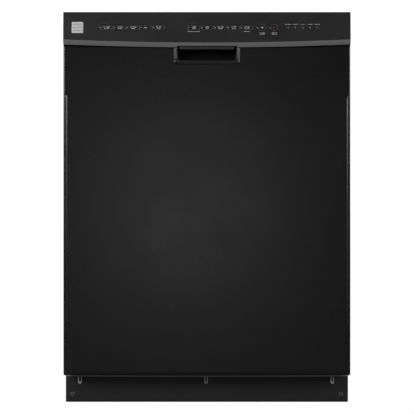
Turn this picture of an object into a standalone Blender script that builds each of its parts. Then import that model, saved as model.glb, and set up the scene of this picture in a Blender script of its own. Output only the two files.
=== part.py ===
"""Built-in dishwasher of the 24 inch class, as separate pieces with their joints' axes.

Metres, +Z up. The front faces -Y and +X is to the right of someone facing it. The origin is on the floor,
under the middle of the machine.
"""

import math

import bmesh
import bpy
from mathutils import Matrix, Vector

# Whole machine
WIDTH = 0.6064
DEPTH = 0.610
HEIGHT = 0.832
FRONT_Y = -DEPTH / 2
BACK_Y = DEPTH / 2
GAP = 0.0003  # between pieces that touch
RUN = 0.0006  # between pieces that slide or turn past each other

# Console: leaning face, and a lip below it that sags towards the middle
LEAN = math.radians(3.5)
CONSOLE_DEPTH = 0.0490
CONSOLE_WALL = 0.0025
CONSOLE_STATIONS = 14
TOP_BEVEL = 0.0022
LIP_TOP_DROP = 0.0584
LIP_SAG = 0.0066
LIP_HEIGHT = 0.0103
LIP_SETBACK = 0.0030
LIP_TOP_LOW_Z = HEIGHT - LIP_TOP_DROP - LIP_SAG

# Keys, lights and badge on the console
KEY_SIZE = (0.0260, 0.0114)
KEY_THICK = 0.0055
KEY_PROUD = 0.0005
KEY_CORNER = 0.0025
KEY_PITCH = 0.0279
KEY_DROP = 0.0332
CYCLE_KEY_X = -0.2139
OPTION_KEY_X = -0.0276
ROUND_KEY_R = 0.0081
START_X = 0.1169
CANCEL_X = 0.1420
LIGHT_X = 0.1715
LIGHT_PITCH = 0.0153
LIGHT_COUNT = 5
LIGHT_R = 0.0012
BADGE_SIZE = 0.0247
BADGE_THICK = 0.0009
BADGE_X = -0.2729

# Door
PANEL_SETBACK = 0.0066
PANEL_WALL = 0.0012
PANEL_DEPTH = 0.0440
PANEL_EDGE = 0.0030
DOOR_BOTTOM_Z = 0.066
BOTTOM_RETURN = 0.0080
LATCH_HALF = 0.030
LATCH_SLOT_HALF = 0.0125
STRIKE_REACH = 0.0230
STRIKE_WIDTH = 0.020
STRIKE_THICK = 0.004
STRIKE_PLATE = 0.0020
STRIKE_RISE = 0.0025
HINGE_BACK = 0.020
HINGE_UP = 0.016
LINER_BACK = 0.034
LINER_WALL = 0.0020
LINER_RIM = 0.004
LINER_CORNER = 0.012
LINER_BULGE = 0.0140
LINER_BOTTOM_Z = 0.096
LINER_TOP_DROP = 0.0222
PANEL_Y = FRONT_Y + PANEL_SETBACK
PANEL_TOP_Z = HEIGHT - LIP_TOP_DROP - LIP_HEIGHT - GAP
HINGE_Y = PANEL_Y + HINGE_BACK
HINGE_Z = DOOR_BOTTOM_Z + HINGE_UP
LINER_Y = HINGE_Y + LINER_BACK
LINER_TOP_Z = HEIGHT - LINER_TOP_DROP

# Handle pocket and its latch paddle
POCKET_HALF = 0.0628
POCKET_WALL = 0.0016
POCKET_BOTTOM_DROP = 0.1019
POCKET_TOP_DROP = 0.0721
POCKET_CEILING_DROP = 0.0600
POCKET_DEPTH = 0.0300
POCKET_CORNER = 0.0080
RIM_WIDTH = 0.0072
PADDLE_HALF = 0.0580
PADDLE_HEIGHT = 0.0068
PADDLE_THICK = 0.0050
PADDLE_TAB = 0.0190
PADDLE_TAB_THICK = 0.0020
POCKET_Z = HEIGHT - POCKET_BOTTOM_DROP
MOUTH_TOP_Z = HEIGHT - POCKET_TOP_DROP

# Tub
TUB_HALF = WIDTH / 2 - 0.0085
TUB_WALL = 0.0030
TUB_CORNER = 0.030
TUB_FLANGE = 0.0060
TUB_FLOOR_Z = 0.126
TUB_TOP_Z = HEIGHT - 0.020
TUB_BACK_Y = BACK_Y - 0.010
GASKET_R = 0.0030
TUB_FRONT_Y = LINER_Y + 2 * GASKET_R + 4 * GAP
BLANKET_THICK = 0.0060
BLANKET_SLACK = 0.004  # how much tighter its corners are than the tub's, so that it stands off them
BLANKET_START = 0.045
BLANKET_BOTTOM_Z = 0.200
BULGE_INSET = 0.0120
SPRAY_Y = (TUB_FRONT_Y + TUB_BACK_Y) / 2

# Base, feet and toe panel
RAIL_HALF = WIDTH / 2 - 0.0042
RAIL_WALL = 0.0025
RAIL_FLANGE = 0.045
RAIL_BOTTOM_Z = 0.012
RAIL_TOP_Z = TUB_FLOOR_Z + 0.034
RAIL_FRONT_Y = TUB_FRONT_Y + 0.022
CROSSMEMBER_HEIGHT = 0.045
CROSSMEMBER_DEPTH = 0.025
CROSSMEMBER_INSET = 0.006
BRACKET_X = 0.200
BRACKET_WIDTH = 0.040
BRACKET_DEPTH = 0.032
BRACKET_WALL = 0.0015
BRACKET_SETBACK = 0.008
EAR_R = 0.0090
PIN_R = 0.0045
FOOT_INSET = 0.030
FOOT_STUD_R = 0.0050
FOOT_PAD_R = 0.0160
FOOT_PAD_HEIGHT = 0.0080
FOOT_HEIGHT = 0.060
FOOT_Y = (RAIL_FRONT_Y + 0.026, BACK_Y - 0.050)
TOE_SETBACK = 0.055
TOE_HALF = WIDTH / 2 - 0.0009
TOE_WALL = 0.0012
TOE_DEPTH = 0.018
TOE_BOTTOM_Z = 0.0027
TOE_TOP_Z = 0.070
TOE_SLOT_Z = 0.0445
TOE_SLOT_R = 0.0025
TOE_SLOT_X = 0.270
TOE_Y = FRONT_Y + TOE_SETBACK

# Wash system
SUMP_R = 0.083
SUMP_FLANGE_R = 0.100
SUMP_DEPTH = 0.075
SUMP_WALL = 0.003
FILTER_R = 0.042
FILTER_RISE = 0.008
HEATER_R = 0.200
HEATER_WIRE_R = 0.004
HEATER_RISE = 0.012
ARM_THICK = 0.008
ARM_HALF_WIDTH = 0.021
LOWER_ARM_HALF = 0.220
LOWER_ARM_Z = TUB_FLOOR_Z + 0.022
UPPER_ARM_HALF = 0.200
ARM_HUB_R = 0.026
FEED_R = 0.009
FEED_BEND = 0.025
FLOAT_R = 0.020
FLOAT_HEIGHT = 0.018
FLOAT_X = -0.215
FLOAT_Y = -0.150
VALVE_CORNER = (-0.235, -0.185, RAIL_BOTTOM_Z + 0.020)
VALVE_SIZE = (0.050, 0.040, 0.055)
VALVE_STUB_R = 0.012
VALVE_STUB_LENGTH = 0.028
VALVE_STUB_RISE = 0.018
JUNCTION_CORNER = (0.130, -0.190, RAIL_BOTTOM_Z + 0.020)
JUNCTION_SIZE = (0.105, 0.050, 0.060)

# Racks
RACK_HALF = WIDTH / 2 - 0.0532
RACK_WIRE = 0.0045
RACK_FRONT_Y = TUB_FRONT_Y + 0.030
RACK_BACK_Y = TUB_BACK_Y - 0.050
LOWER_RACK_Z = TUB_FLOOR_Z + 0.040
LOWER_RACK_HEIGHT = 0.165
UPPER_RACK_Z = 0.500
UPPER_RACK_HEIGHT = 0.120
CELL = 0.078  # the widest that a rack's mesh may be
RACK_RAIL_WIDTH = 0.020
RACK_RAIL_HEIGHT = 0.020
RACK_RAIL_Z = UPPER_RACK_Z + 0.072
BASKET_X = 0.165
BASKET_WIDTH = 0.070
BASKET_LENGTH = 0.300
BASKET_HEIGHT = 0.125
BASKET_WALL = 0.003
BASKET_CELLS = 3
TINE_X = -0.060
TINE_COUNT = 8
TINE_PITCH = 0.040
TINE_HEIGHT = 0.090
TINE_WIRE = 0.0040

# Dispenser on the door's inside
DISPENSER_SIZE = (0.148, 0.088)
DISPENSER_Z = 0.385
DISPENSER_DEPTH = 0.032
DISPENSER_PROUD = 0.008
CUP_SIZE = (0.068, 0.058)
CUP_DEPTH = 0.026
CUP_X = -0.032
LID_THICK = 0.003
LID_MARGIN = 0.003
CAP_X = 0.040
CAP_R = 0.018
CAP_HEIGHT = 0.006

FINISHES = {
    "charcoal_plastic": ((0.020, 0.020, 0.021), 0.45, 0.0),
    "black_paint": ((0.008, 0.008, 0.008), 0.32, 0.0),
    "black_plastic": ((0.010, 0.010, 0.010), 0.40, 0.0),
    "key_plastic": ((0.022, 0.022, 0.023), 0.42, 0.0),
    "stop_key": ((0.070, 0.012, 0.012), 0.42, 0.0),
    "silver_badge": ((0.60, 0.60, 0.61), 0.30, 1.0),
    "light_lens": ((0.30, 0.32, 0.33), 0.20, 0.0),
    "stainless": ((0.56, 0.56, 0.55), 0.28, 1.0),
    "galvanised": ((0.45, 0.46, 0.47), 0.45, 1.0),
    "tub_plastic": ((0.50, 0.51, 0.52), 0.40, 0.0),
    "grey_plastic": ((0.42, 0.43, 0.44), 0.45, 0.0),
    "dark_grey_plastic": ((0.10, 0.10, 0.11), 0.50, 0.0),
    "rack_vinyl": ((0.36, 0.38, 0.40), 0.50, 0.0),
    "gasket_rubber": ((0.05, 0.05, 0.05), 0.75, 0.0),
    "blanket_felt": ((0.07, 0.07, 0.07), 0.95, 0.0),
    "board_green": ((0.03, 0.16, 0.06), 0.50, 0.0),
    "cap_blue": ((0.06, 0.20, 0.45), 0.40, 0.0),
}

YZ_TO_X = Matrix(((0, 0, 1, 0), (1, 0, 0, 0), (0, 1, 0, 0), (0, 0, 0, 1)))
XZ_TO_Y = Matrix(((1, 0, 0, 0), (0, 0, -1, 0), (0, 1, 0, 0), (0, 0, 0, 1)))
FLAT = Matrix.Identity(4)


# Shared tools


def new_collection(name):
    made = bpy.data.collections.new(name)
    bpy.context.scene.collection.children.link(made)
    return made


def clear_scene():
    for old in list(bpy.data.objects):
        bpy.data.objects.remove(old, do_unlink=True)


def material(name, finish):
    colour, roughness, metallic = FINISHES[finish]
    made = bpy.data.materials.new(name)
    made.use_nodes = True
    shader = made.node_tree.nodes["Principled BSDF"]
    shader.inputs["Base Color"].default_value = (*colour, 1.0)
    shader.inputs["Roughness"].default_value = roughness
    shader.inputs["Metallic"].default_value = metallic
    return made


def place_mesh(name, mesh, finish, origin=(0, 0, 0)):
    """Puts a mesh in the scene with its origin at the given point. A finish of None makes it a cutter."""
    mesh.name = name
    mesh.shade_smooth()
    mesh.set_sharp_from_angle(angle=math.radians(35))
    mesh.transform(Matrix.Translation(-Vector(origin)))
    made = bpy.data.objects.new(name, mesh)
    made.location = origin
    if finish is None:
        cutters.objects.link(made)
        made.hide_render = True
        made.display_type = "WIRE"
    else:
        parts.objects.link(made)
        mesh.materials.append(material(name, finish))
    return made


def place(name, bm, finish, origin=(0, 0, 0)):
    mesh = bpy.data.meshes.new(name)
    bm.to_mesh(mesh)
    bm.free()
    return place_mesh(name, mesh, finish, origin)


def box(low, high):
    low = Vector(low)
    high = Vector(high)
    bm = bmesh.new()
    bmesh.ops.create_cube(bm, size=1.0)
    bmesh.ops.scale(bm, vec=high - low, verts=bm.verts)
    bmesh.ops.translate(bm, vec=(low + high) / 2, verts=bm.verts)
    return bm


def runs_along(edge, axis):
    step = edge.verts[1].co - edge.verts[0].co
    return abs(step["XYZ".index(axis)]) > 0.99 * step.length


def round_edges(bm, radius, chosen, segments=3):
    """Bevels the edges for which chosen(edge) is true."""
    edges = [edge for edge in bm.edges if chosen(edge)]
    bmesh.ops.bevel(bm, geom=edges, offset=radius, segments=segments, profile=0.5, affect="EDGES")
    return bm


def middle(edge):
    return (edge.verts[0].co + edge.verts[1].co) / 2


def open_towards(bm, *directions):
    """Removes the flat faces that look in the given directions."""
    bm.normal_update()
    gone = [f for f in bm.faces if any(f.normal.dot(Vector(d)) > 0.999 for d in directions)]
    bmesh.ops.delete(bm, geom=gone, context="FACES")
    return bm


def flare(bm, out_x, out_z):
    """Gives a shell that is open towards -Y a flange, this far out to each side and up and down."""
    mouth = [edge for edge in bm.edges if edge.is_boundary]
    made = bmesh.ops.extrude_edge_only(bm, edges=mouth)["geom"]
    outer = [v for v in made if isinstance(v, bmesh.types.BMVert)]
    low = min(v.co.z for v in outer)
    high = max(v.co.z for v in outer)
    half_x = max(v.co.x for v in outer)
    half_z = (high - low) / 2
    for v in outer:
        v.co.x *= 1 + out_x / half_x
        v.co.z += (v.co.z - low - half_z) * out_z / half_z
    bmesh.ops.recalc_face_normals(bm, faces=bm.faces)
    rearmost = max(bm.faces, key=lambda face: face.calc_center_median().y)
    if rearmost.normal.y < 0:
        bmesh.ops.reverse_faces(bm, faces=bm.faces)
    return bm


def thicken(obj, wall):
    """Gives an open surface its wall, on its inner side."""
    solidify = obj.modifiers.new("wall", "SOLIDIFY")
    solidify.thickness = wall
    solidify.offset = -1.0
    solidify.use_even_offset = True
    return obj


def combine(obj, other, operation):
    boolean = obj.modifiers.new(other.name, "BOOLEAN")
    boolean.operation = operation
    boolean.solver = "EXACT"
    boolean.object = other
    return obj


def cut(obj, *others):
    for other in others:
        combine(obj, other, "DIFFERENCE")
    return obj


def join(obj, *others):
    for other in others:
        combine(obj, other, "UNION")
    return obj


def cylinder(radius, start, end, sides=20):
    """A capped cylinder from start to end."""
    start = Vector(start)
    step = Vector(end) - start
    bm = bmesh.new()
    bmesh.ops.create_cone(
        bm, cap_ends=True, segments=sides, radius1=radius, radius2=radius, depth=step.length
    )
    turn = Vector((0, 0, 1)).rotation_difference(step).to_matrix().to_4x4()
    bmesh.ops.transform(bm, matrix=Matrix.Translation(start + step / 2) @ turn, verts=bm.verts)
    return bm


def arc(centre, radius, start_deg, end_deg, steps=6):
    """Points on an arc in the plane, from one angle to another."""
    points = []
    for i in range(steps + 1):
        angle = math.radians(start_deg + (end_deg - start_deg) * i / steps)
        points.append((centre[0] + radius * math.cos(angle), centre[1] + radius * math.sin(angle)))
    return points


def mesh_of_curve(curve):
    """The curve's solid as a mesh with its caps welded on."""
    guide = bpy.data.objects.new("curve", curve)
    cutters.objects.link(guide)
    graph = bpy.context.evaluated_depsgraph_get()
    mesh = bpy.data.meshes.new_from_object(guide.evaluated_get(graph))
    bpy.data.objects.remove(guide, do_unlink=True)
    bm = bmesh.new()
    bm.from_mesh(mesh)
    bmesh.ops.remove_doubles(bm, verts=bm.verts, dist=1e-6)
    bmesh.ops.recalc_face_normals(bm, faces=bm.faces)
    bm.to_mesh(mesh)
    bm.free()
    return mesh


def plate_mesh(outline, thickness, plane, centre=0.0):
    """A flat outline given half its thickness each way, in the plane, centred at this height above it."""
    curve = bpy.data.curves.new("outline", "CURVE")
    curve.dimensions = "2D"
    curve.fill_mode = "BOTH"
    curve.extrude = thickness / 2
    spline = curve.splines.new("POLY")
    spline.points.add(len(outline) - 1)
    for point, (u, v) in zip(spline.points, outline):
        point.co = (u, v, 0, 1)
    spline.use_cyclic_u = True
    mesh = mesh_of_curve(curve)
    mesh.transform(plane @ Matrix.Translation((0, 0, centre)))
    return mesh


def tube_mesh(points, radius, cyclic=False, roundness=2):
    """A round tube along the points, capped unless it closes on itself."""
    curve = bpy.data.curves.new("tube", "CURVE")
    curve.dimensions = "3D"
    curve.bevel_depth = radius
    curve.bevel_resolution = roundness
    curve.use_fill_caps = True
    spline = curve.splines.new("POLY")
    spline.points.add(len(points) - 1)
    for point, place_at in zip(spline.points, points):
        point.co = (*place_at, 1)
    spline.use_cyclic_u = cyclic
    return mesh_of_curve(curve)


def turned(name, profile, finish, centre, steps=24):
    """A profile of (radius, height) pairs turned about the vertical through the centre."""
    bm = bmesh.new()
    ends = [bm.verts.new((radius, 0, height)) for radius, height in profile]
    for a, b in zip(ends, ends[1:]):
        bm.edges.new((a, b))
    made = place(name, bm, finish)
    made.location = centre
    screw = made.modifiers.new("turn", "SCREW")
    screw.steps = steps
    screw.render_steps = steps
    screw.use_merge_vertices = True
    screw.merge_threshold = 1e-5
    return made


def solid_box(name, low, high, finish, radius=0.0, axis="Y", origin=(0, 0, 0)):
    """A box, with the edges that run along one axis rounded if a radius is given."""
    bm = box(low, high)
    if radius:
        round_edges(bm, radius, lambda edge: runs_along(edge, axis), 2)
    return place(name, bm, finish, origin)


# Console, with its keys, lights and badge


def face_y(z):
    """Where the console's leaning face is at this height."""
    return FRONT_Y + math.tan(LEAN) * (z - LIP_TOP_LOW_Z)


def on_face(x, z, out=0.0):
    """A point on the console's face, or this far out in front of it."""
    return Vector((x, face_y(z) - out * math.cos(LEAN), z + out * math.sin(LEAN)))


def stand_on_face(obj, x, z):
    obj.location = on_face(x, z)
    obj.rotation_euler = (-LEAN, 0, 0)
    return obj


def console_profile(x):
    """The console's section at this x, from its back over the top and down to the lip's edge, as (y, z)."""
    sag = LIP_SAG * (1 - (2 * x / WIDTH) ** 2)
    lip_top = HEIGHT - LIP_TOP_DROP - sag
    return [
        (FRONT_Y + CONSOLE_DEPTH, HEIGHT),
        (face_y(HEIGHT) + TOP_BEVEL, HEIGHT),
        (face_y(HEIGHT - TOP_BEVEL), HEIGHT - TOP_BEVEL),
        (face_y(lip_top), lip_top),
        (face_y(lip_top) + LIP_SETBACK, lip_top - LIP_HEIGHT),
    ]


def make_console():
    bm = bmesh.new()
    rows = []
    for i in range(CONSOLE_STATIONS + 1):
        x = (i / CONSOLE_STATIONS - 0.5) * WIDTH
        rows.append([bm.verts.new((x, y, z)) for y, z in console_profile(x)])
    for left, right in zip(rows, rows[1:]):
        for j in range(len(left) - 1):
            bm.faces.new((left[j], left[j + 1], right[j + 1], right[j]))
    for row in (rows[0], rows[-1]):
        corner = bm.verts.new((row[0].co.x, row[0].co.y, row[-1].co.z))
        bm.faces.new([*row, corner])
    bmesh.ops.recalc_face_normals(bm, faces=bm.faces)
    console = thicken(place("control_console", bm, "charcoal_plastic"), CONSOLE_WALL)
    mouth = solid_box(
        "paddle_notch",
        (-POCKET_HALF - GAP, FRONT_Y - 0.01, MOUTH_TOP_Z - 0.03),
        (POCKET_HALF + GAP, PANEL_Y + PANEL_DEPTH, MOUTH_TOP_Z),
        None,
    )
    return cut(console, mouth)


def key_box(name, width, height, grow, finish):
    """A key's rounded block in its own frame: the face plane is y = 0 and the back is at +y."""
    half_x = width / 2 + grow
    half_z = height / 2 + grow
    front = -KEY_PROUD if finish else -0.01
    back = KEY_THICK if finish else 0.01
    bm = box((-half_x, front, -half_z), (half_x, back, half_z))
    round_edges(bm, KEY_CORNER, lambda edge: runs_along(edge, "Y"), 2)
    return place(name, bm, finish)


def round_key(name, grow, finish):
    front = -KEY_PROUD if finish else -0.01
    back = KEY_THICK if finish else 0.01
    bm = cylinder(ROUND_KEY_R + grow, (0, front, 0), (0, back, 0), 24)
    return place(name, bm, finish)


def make_keys(console):
    z = HEIGHT - KEY_DROP
    width, height = KEY_SIZE
    cycles = ["pots_pans", "normal", "light", "quick", "rinse"]
    options = ["hi_temp", "sani", "heat_dry", "half_load", "delay"]
    for start_x, names, kind in ((CYCLE_KEY_X, cycles, "cycle"), (OPTION_KEY_X, options, "option")):
        for i, word in enumerate(names):
            x = start_x + i * KEY_PITCH
            name = f"{kind}_key_{word}"
            stand_on_face(key_box(name, width, height, 0.0, "key_plastic"), x, z)
            hole = stand_on_face(key_box(f"hole_{name}", width, height, RUN, None), x, z)
            cut(console, hole)
    for name, x, finish in (("start_key", START_X, "key_plastic"), ("cancel_key", CANCEL_X, "stop_key")):
        stand_on_face(round_key(name, 0.0, finish), x, z)
        cut(console, stand_on_face(round_key(f"hole_{name}", RUN, None), x, z))


def make_status_lights(console):
    """A light pipe behind the console's wall, with one round window for each light."""
    z = HEIGHT - KEY_DROP
    back = CONSOLE_WALL + GAP
    end = LIGHT_PITCH * (LIGHT_COUNT - 1)
    margin = 0.004
    bar = box((-margin, back, -margin / 2), (end + margin, back + 0.002, margin / 2))
    lights = stand_on_face(place("status_lights", bar, "light_lens"), LIGHT_X, z)
    for i in range(LIGHT_COUNT):
        x = LIGHT_X + i * LIGHT_PITCH
        pin = cylinder(LIGHT_R, (0, 0, 0), (0, back + 0.001, 0), 8)
        join(lights, stand_on_face(place(f"light_pin_{i}", pin, None), x, z))
        hole = cylinder(LIGHT_R + RUN, (0, -0.01, 0), (0, 0.01, 0), 8)
        cut(console, stand_on_face(place(f"light_hole_{i}", hole, None), x, z))


def make_badge():
    half = BADGE_SIZE / 2
    bm = box((-half, -GAP - BADGE_THICK, -half), (half, -GAP, half))
    round_edges(bm, 0.002, lambda edge: runs_along(edge, "Y"), 3)
    stand_on_face(place("badge_plate", bm, "silver_badge"), BADGE_X, HEIGHT - KEY_DROP)


def make_control_board():
    y = face_y(HEIGHT - KEY_DROP) + KEY_THICK + 0.009
    low = (CYCLE_KEY_X - 0.03, y, LIP_TOP_LOW_Z + 0.016)
    high = (LIGHT_X + 0.07, y + 0.0016, HEIGHT - 0.014)
    solid_box("control_board", low, high, "board_green")


# Door


def pocket_cutter(name, grow, front, back, top):
    bm = box((-POCKET_HALF - grow, front, POCKET_Z - grow), (POCKET_HALF + grow, back, top))
    bottom = POCKET_Z + 0.001
    round_edges(
        bm, POCKET_CORNER + grow, lambda edge: runs_along(edge, "Y") and middle(edge).z < bottom
    )
    return place(name, bm, None)


def make_door_panel():
    """The outer door skin: a pan open at the back and top, notched for the handle pocket."""
    half = WIDTH / 2
    bm = box((-half, PANEL_Y, DOOR_BOTTOM_Z), (half, PANEL_Y + PANEL_DEPTH, PANEL_TOP_Z + PANEL_EDGE))
    front = PANEL_Y + 0.001
    round_edges(bm, PANEL_EDGE, lambda e: middle(e).y < front and middle(e).z < PANEL_TOP_Z)
    open_towards(bm, (0, 1, 0), (0, 0, 1))
    panel = thicken(place("door_panel", bm, "black_paint"), PANEL_WALL)
    top = solid_box(
        "panel_top_trim",
        (-half - 0.01, PANEL_Y - 0.01, PANEL_TOP_Z),
        (half + 0.01, PANEL_Y + PANEL_DEPTH + 0.01, PANEL_TOP_Z + 0.02),
        None,
    )
    bottom = solid_box(
        "panel_bottom_trim",
        (-half + 0.004, PANEL_Y + BOTTOM_RETURN, DOOR_BOTTOM_Z - 0.01),
        (half - 0.004, PANEL_Y + PANEL_DEPTH + 0.01, DOOR_BOTTOM_Z + 0.01),
        None,
    )
    reach = PANEL_Y + 0.01
    mouth = pocket_cutter("panel_mouth", POCKET_WALL + RUN, PANEL_Y - 0.01, reach, PANEL_TOP_Z + 0.03)
    return cut(panel, top, bottom, mouth)


def make_handle_pocket():
    """A scoop behind the door skin with a rim that stands on the skin's front."""
    grow = POCKET_WALL
    rim_y = PANEL_Y - GAP
    bm = box(
        (-POCKET_HALF - grow, rim_y, POCKET_Z - grow),
        (POCKET_HALF + grow, rim_y + POCKET_DEPTH, HEIGHT - POCKET_CEILING_DROP),
    )
    low = POCKET_Z
    round_edges(bm, POCKET_CORNER + grow, lambda e: runs_along(e, "Y") and middle(e).z < low)
    open_towards(bm, (0, -1, 0))
    flare(bm, RIM_WIDTH + grow, RIM_WIDTH)
    pocket = thicken(place("handle_pocket", bm, "black_plastic"), POCKET_WALL)
    lip_low_z = LIP_TOP_LOW_Z - LIP_HEIGHT - RUN
    under_lip = solid_box(
        "pocket_lip_trim",
        (-2 * POCKET_HALF, FRONT_Y - 0.01, lip_low_z),
        (2 * POCKET_HALF, PANEL_Y + PANEL_WALL + RUN, HEIGHT),
        None,
    )
    return cut(pocket, under_lip)


def paddle_pivot():
    return Vector((0, PANEL_Y, MOUTH_TOP_Z - GAP - PADDLE_HEIGHT / 2))


def make_latch_paddle():
    """A squeeze lever across the top of the pocket: a grip strip in front and a finger tab behind."""
    pivot = paddle_pivot()
    front = pivot.y - PADDLE_THICK / 2
    back = pivot.y + PADDLE_THICK / 2
    grip = box(
        (-PADDLE_HALF, front, pivot.z - PADDLE_HEIGHT / 2), (PADDLE_HALF, back, pivot.z + PADDLE_HEIGHT / 2)
    )
    round_edges(grip, 0.0030, lambda edge: runs_along(edge, "Y"))
    paddle = place("latch_paddle", grip, "black_plastic", pivot)
    half = PADDLE_TAB_THICK / 2
    tab = box(
        (-PADDLE_HALF + 0.004, back - 0.001, pivot.z - half),
        (PADDLE_HALF - 0.004, back + PADDLE_TAB, pivot.z + half),
    )
    return join(paddle, place("paddle_tab", tab, None))


def make_latch():
    """The latch in the door's top, and the strike on the tub that it catches."""
    tongue_z = TUB_TOP_Z + STRIKE_RISE
    tongue_y = TUB_FRONT_Y - STRIKE_REACH
    half_thick = STRIKE_THICK / 2
    latch = solid_box(
        "latch_body",
        (-LATCH_HALF, tongue_y - 0.022, tongue_z - 0.031),
        (LATCH_HALF, tongue_y + 0.004, tongue_z + 0.0105),
        "dark_grey_plastic",
        0.003,
        "X",
    )
    slot = solid_box(
        "latch_slot",
        (-LATCH_SLOT_HALF, tongue_y - 0.004, tongue_z - 0.005),
        (LATCH_SLOT_HALF, tongue_y + 0.01, tongue_z + 0.005),
        None,
    )
    cut(latch, slot)
    base = TUB_FRONT_Y - GAP
    front = base - STRIKE_PLATE
    low = tongue_z - 0.0045
    high = tongue_z + 0.0032
    outline = [
        (base, low),
        (base, high),
        (front, high),
        (front, tongue_z + half_thick),
        (tongue_y, tongue_z + half_thick),
        (tongue_y, tongue_z - half_thick),
        (front, tongue_z - half_thick),
        (front, low),
    ]
    place_mesh("door_strike", plate_mesh(outline, STRIKE_WIDTH, YZ_TO_X), "stainless")


def make_inner_liner():
    """The door's inside: a pan whose middle bulges into the tub's mouth, with a hole for the dispenser."""
    half = WIDTH / 2 - RUN
    bm = box((-half, PANEL_Y + PANEL_DEPTH + RUN, LINER_BOTTOM_Z), (half, LINER_Y, LINER_TOP_Z))
    round_edges(bm, LINER_CORNER, lambda edge: runs_along(edge, "Y"), 3)
    open_towards(bm, (0, -1, 0))
    back = max(bm.faces, key=lambda face: face.calc_center_median().y)
    bulge_half = TUB_HALF - TUB_WALL - BULGE_INSET
    bulge_low = TUB_FLOOR_Z + BULGE_INSET
    bulge_high = TUB_TOP_Z - TUB_WALL - BULGE_INSET
    middle_z = (LINER_BOTTOM_Z + LINER_TOP_Z) / 2
    bmesh.ops.inset_region(bm, faces=[back], thickness=LINER_RIM)
    for v in back.verts:
        v.co.x *= 1 + (bulge_half - (half - LINER_RIM)) / abs(v.co.x)
        if v.co.z > middle_z:
            v.co.z += bulge_high - (LINER_TOP_Z - LINER_RIM)
        else:
            v.co.z += bulge_low - (LINER_BOTTOM_Z + LINER_RIM)
    bmesh.ops.inset_region(bm, faces=[back], thickness=LINER_BULGE * 0.5, depth=LINER_BULGE)
    liner = thicken(place("inner_door_liner", bm, "tub_plastic"), LINER_WALL)
    width, height = DISPENSER_SIZE
    hole = solid_box(
        "dispenser_hole",
        (-width / 2 - RUN, LINER_Y - 0.02, DISPENSER_Z - height / 2 - RUN),
        (width / 2 + RUN, LINER_Y + LINER_BULGE + 0.02, DISPENSER_Z + height / 2 + RUN),
        None,
        0.006,
    )
    return cut(liner, hole)


def cup_floor_z():
    return DISPENSER_Z - CUP_SIZE[1] / 2


def dispenser_face_y():
    return LINER_Y + LINER_BULGE + DISPENSER_PROUD


def make_dispenser():
    """The detergent cup with its hinged lid, and the quarter-turn rinse aid cap beside it."""
    width, height = DISPENSER_SIZE
    face = dispenser_face_y()
    body = solid_box(
        "detergent_dispenser",
        (-width / 2, face - DISPENSER_DEPTH, DISPENSER_Z - height / 2),
        (width / 2, face, DISPENSER_Z + height / 2),
        "grey_plastic",
        0.006,
    )
    cup_width, cup_height = CUP_SIZE
    cup = solid_box(
        "cup_hollow",
        (CUP_X - cup_width / 2, face - CUP_DEPTH, cup_floor_z()),
        (CUP_X + cup_width / 2, face + 0.01, cup_floor_z() + cup_height),
        None,
        0.008,
    )
    cut(body, cup)
    lid_low = (CUP_X - cup_width / 2 - LID_MARGIN, face + GAP, cup_floor_z() - LID_MARGIN)
    lid_high = (
        CUP_X + cup_width / 2 + LID_MARGIN,
        face + GAP + LID_THICK,
        cup_floor_z() + cup_height + LID_MARGIN,
    )
    lid_hinge = (CUP_X, face + GAP + LID_THICK, cup_floor_z() - LID_MARGIN)
    solid_box("detergent_lid", lid_low, lid_high, "grey_plastic", 0.006, "Y", lid_hinge)
    cap = cylinder(CAP_R, (CAP_X, face + GAP, DISPENSER_Z), (CAP_X, face + GAP + CAP_HEIGHT, DISPENSER_Z))
    rim = face + GAP + CAP_HEIGHT - 0.001
    round_edges(cap, 0.0012, lambda e: middle(e).y > rim and not runs_along(e, "Y"), 1)
    knob = solid_box(
        "cap_grip",
        (CAP_X - CAP_R * 0.7, face + CAP_HEIGHT - 0.002, DISPENSER_Z - 0.0025),
        (CAP_X + CAP_R * 0.7, face + CAP_HEIGHT + 0.003, DISPENSER_Z + 0.0025),
        None,
        0.002,
    )
    join(place("rinse_aid_cap", cap, "cap_blue", (CAP_X, face, DISPENSER_Z)), knob)


def make_hinge_arm(name, side):
    """A steel arm up the inside of the door, with the pin that it turns on."""
    inner = RAIL_HALF - RAIL_WALL - RUN
    thick = 0.004
    front = PANEL_Y + PANEL_WALL + 0.003
    back = PANEL_Y + PANEL_DEPTH - 0.006
    outline = [
        (front, HINGE_Z + 0.120),
        (front, HINGE_Z - 0.006),
        (front + 0.006, HINGE_Z - 0.011),
        (HINGE_Y + 0.008, HINGE_Z - 0.011),
        (back, HINGE_Z + 0.020),
        (back, HINGE_Z + 0.120),
    ]
    mesh = plate_mesh(outline, thick, YZ_TO_X, side * (inner - thick / 2))
    arm = place_mesh(name, mesh, "galvanised")
    start = side * (inner - thick / 2)
    pin = cylinder(PIN_R, (start, HINGE_Y, HINGE_Z), (side * RAIL_HALF, HINGE_Y, HINGE_Z), 16)
    return join(arm, place(f"pin_{name}", pin, None))


# Tub and what is fixed to it


def make_tub():
    """The wash tub: an open-fronted shell with round corners and a flange round its mouth."""
    front = TUB_FRONT_Y + TUB_WALL
    bm = box((-TUB_HALF, front, TUB_FLOOR_Z - TUB_WALL), (TUB_HALF, TUB_BACK_Y, TUB_TOP_Z))
    round_edges(bm, TUB_CORNER, lambda edge: middle(edge).y > front + 0.001)
    open_towards(bm, (0, -1, 0))
    flare(bm, TUB_FLANGE, TUB_FLANGE)
    tub = thicken(place("tub", bm, "tub_plastic"), TUB_WALL)
    drain = cylinder(SUMP_R + 0.001, (0, SPRAY_Y, TUB_FLOOR_Z - 0.03), (0, SPRAY_Y, TUB_FLOOR_Z + 0.02), 32)
    return cut(tub, place("sump_hole", drain, None))


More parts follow.
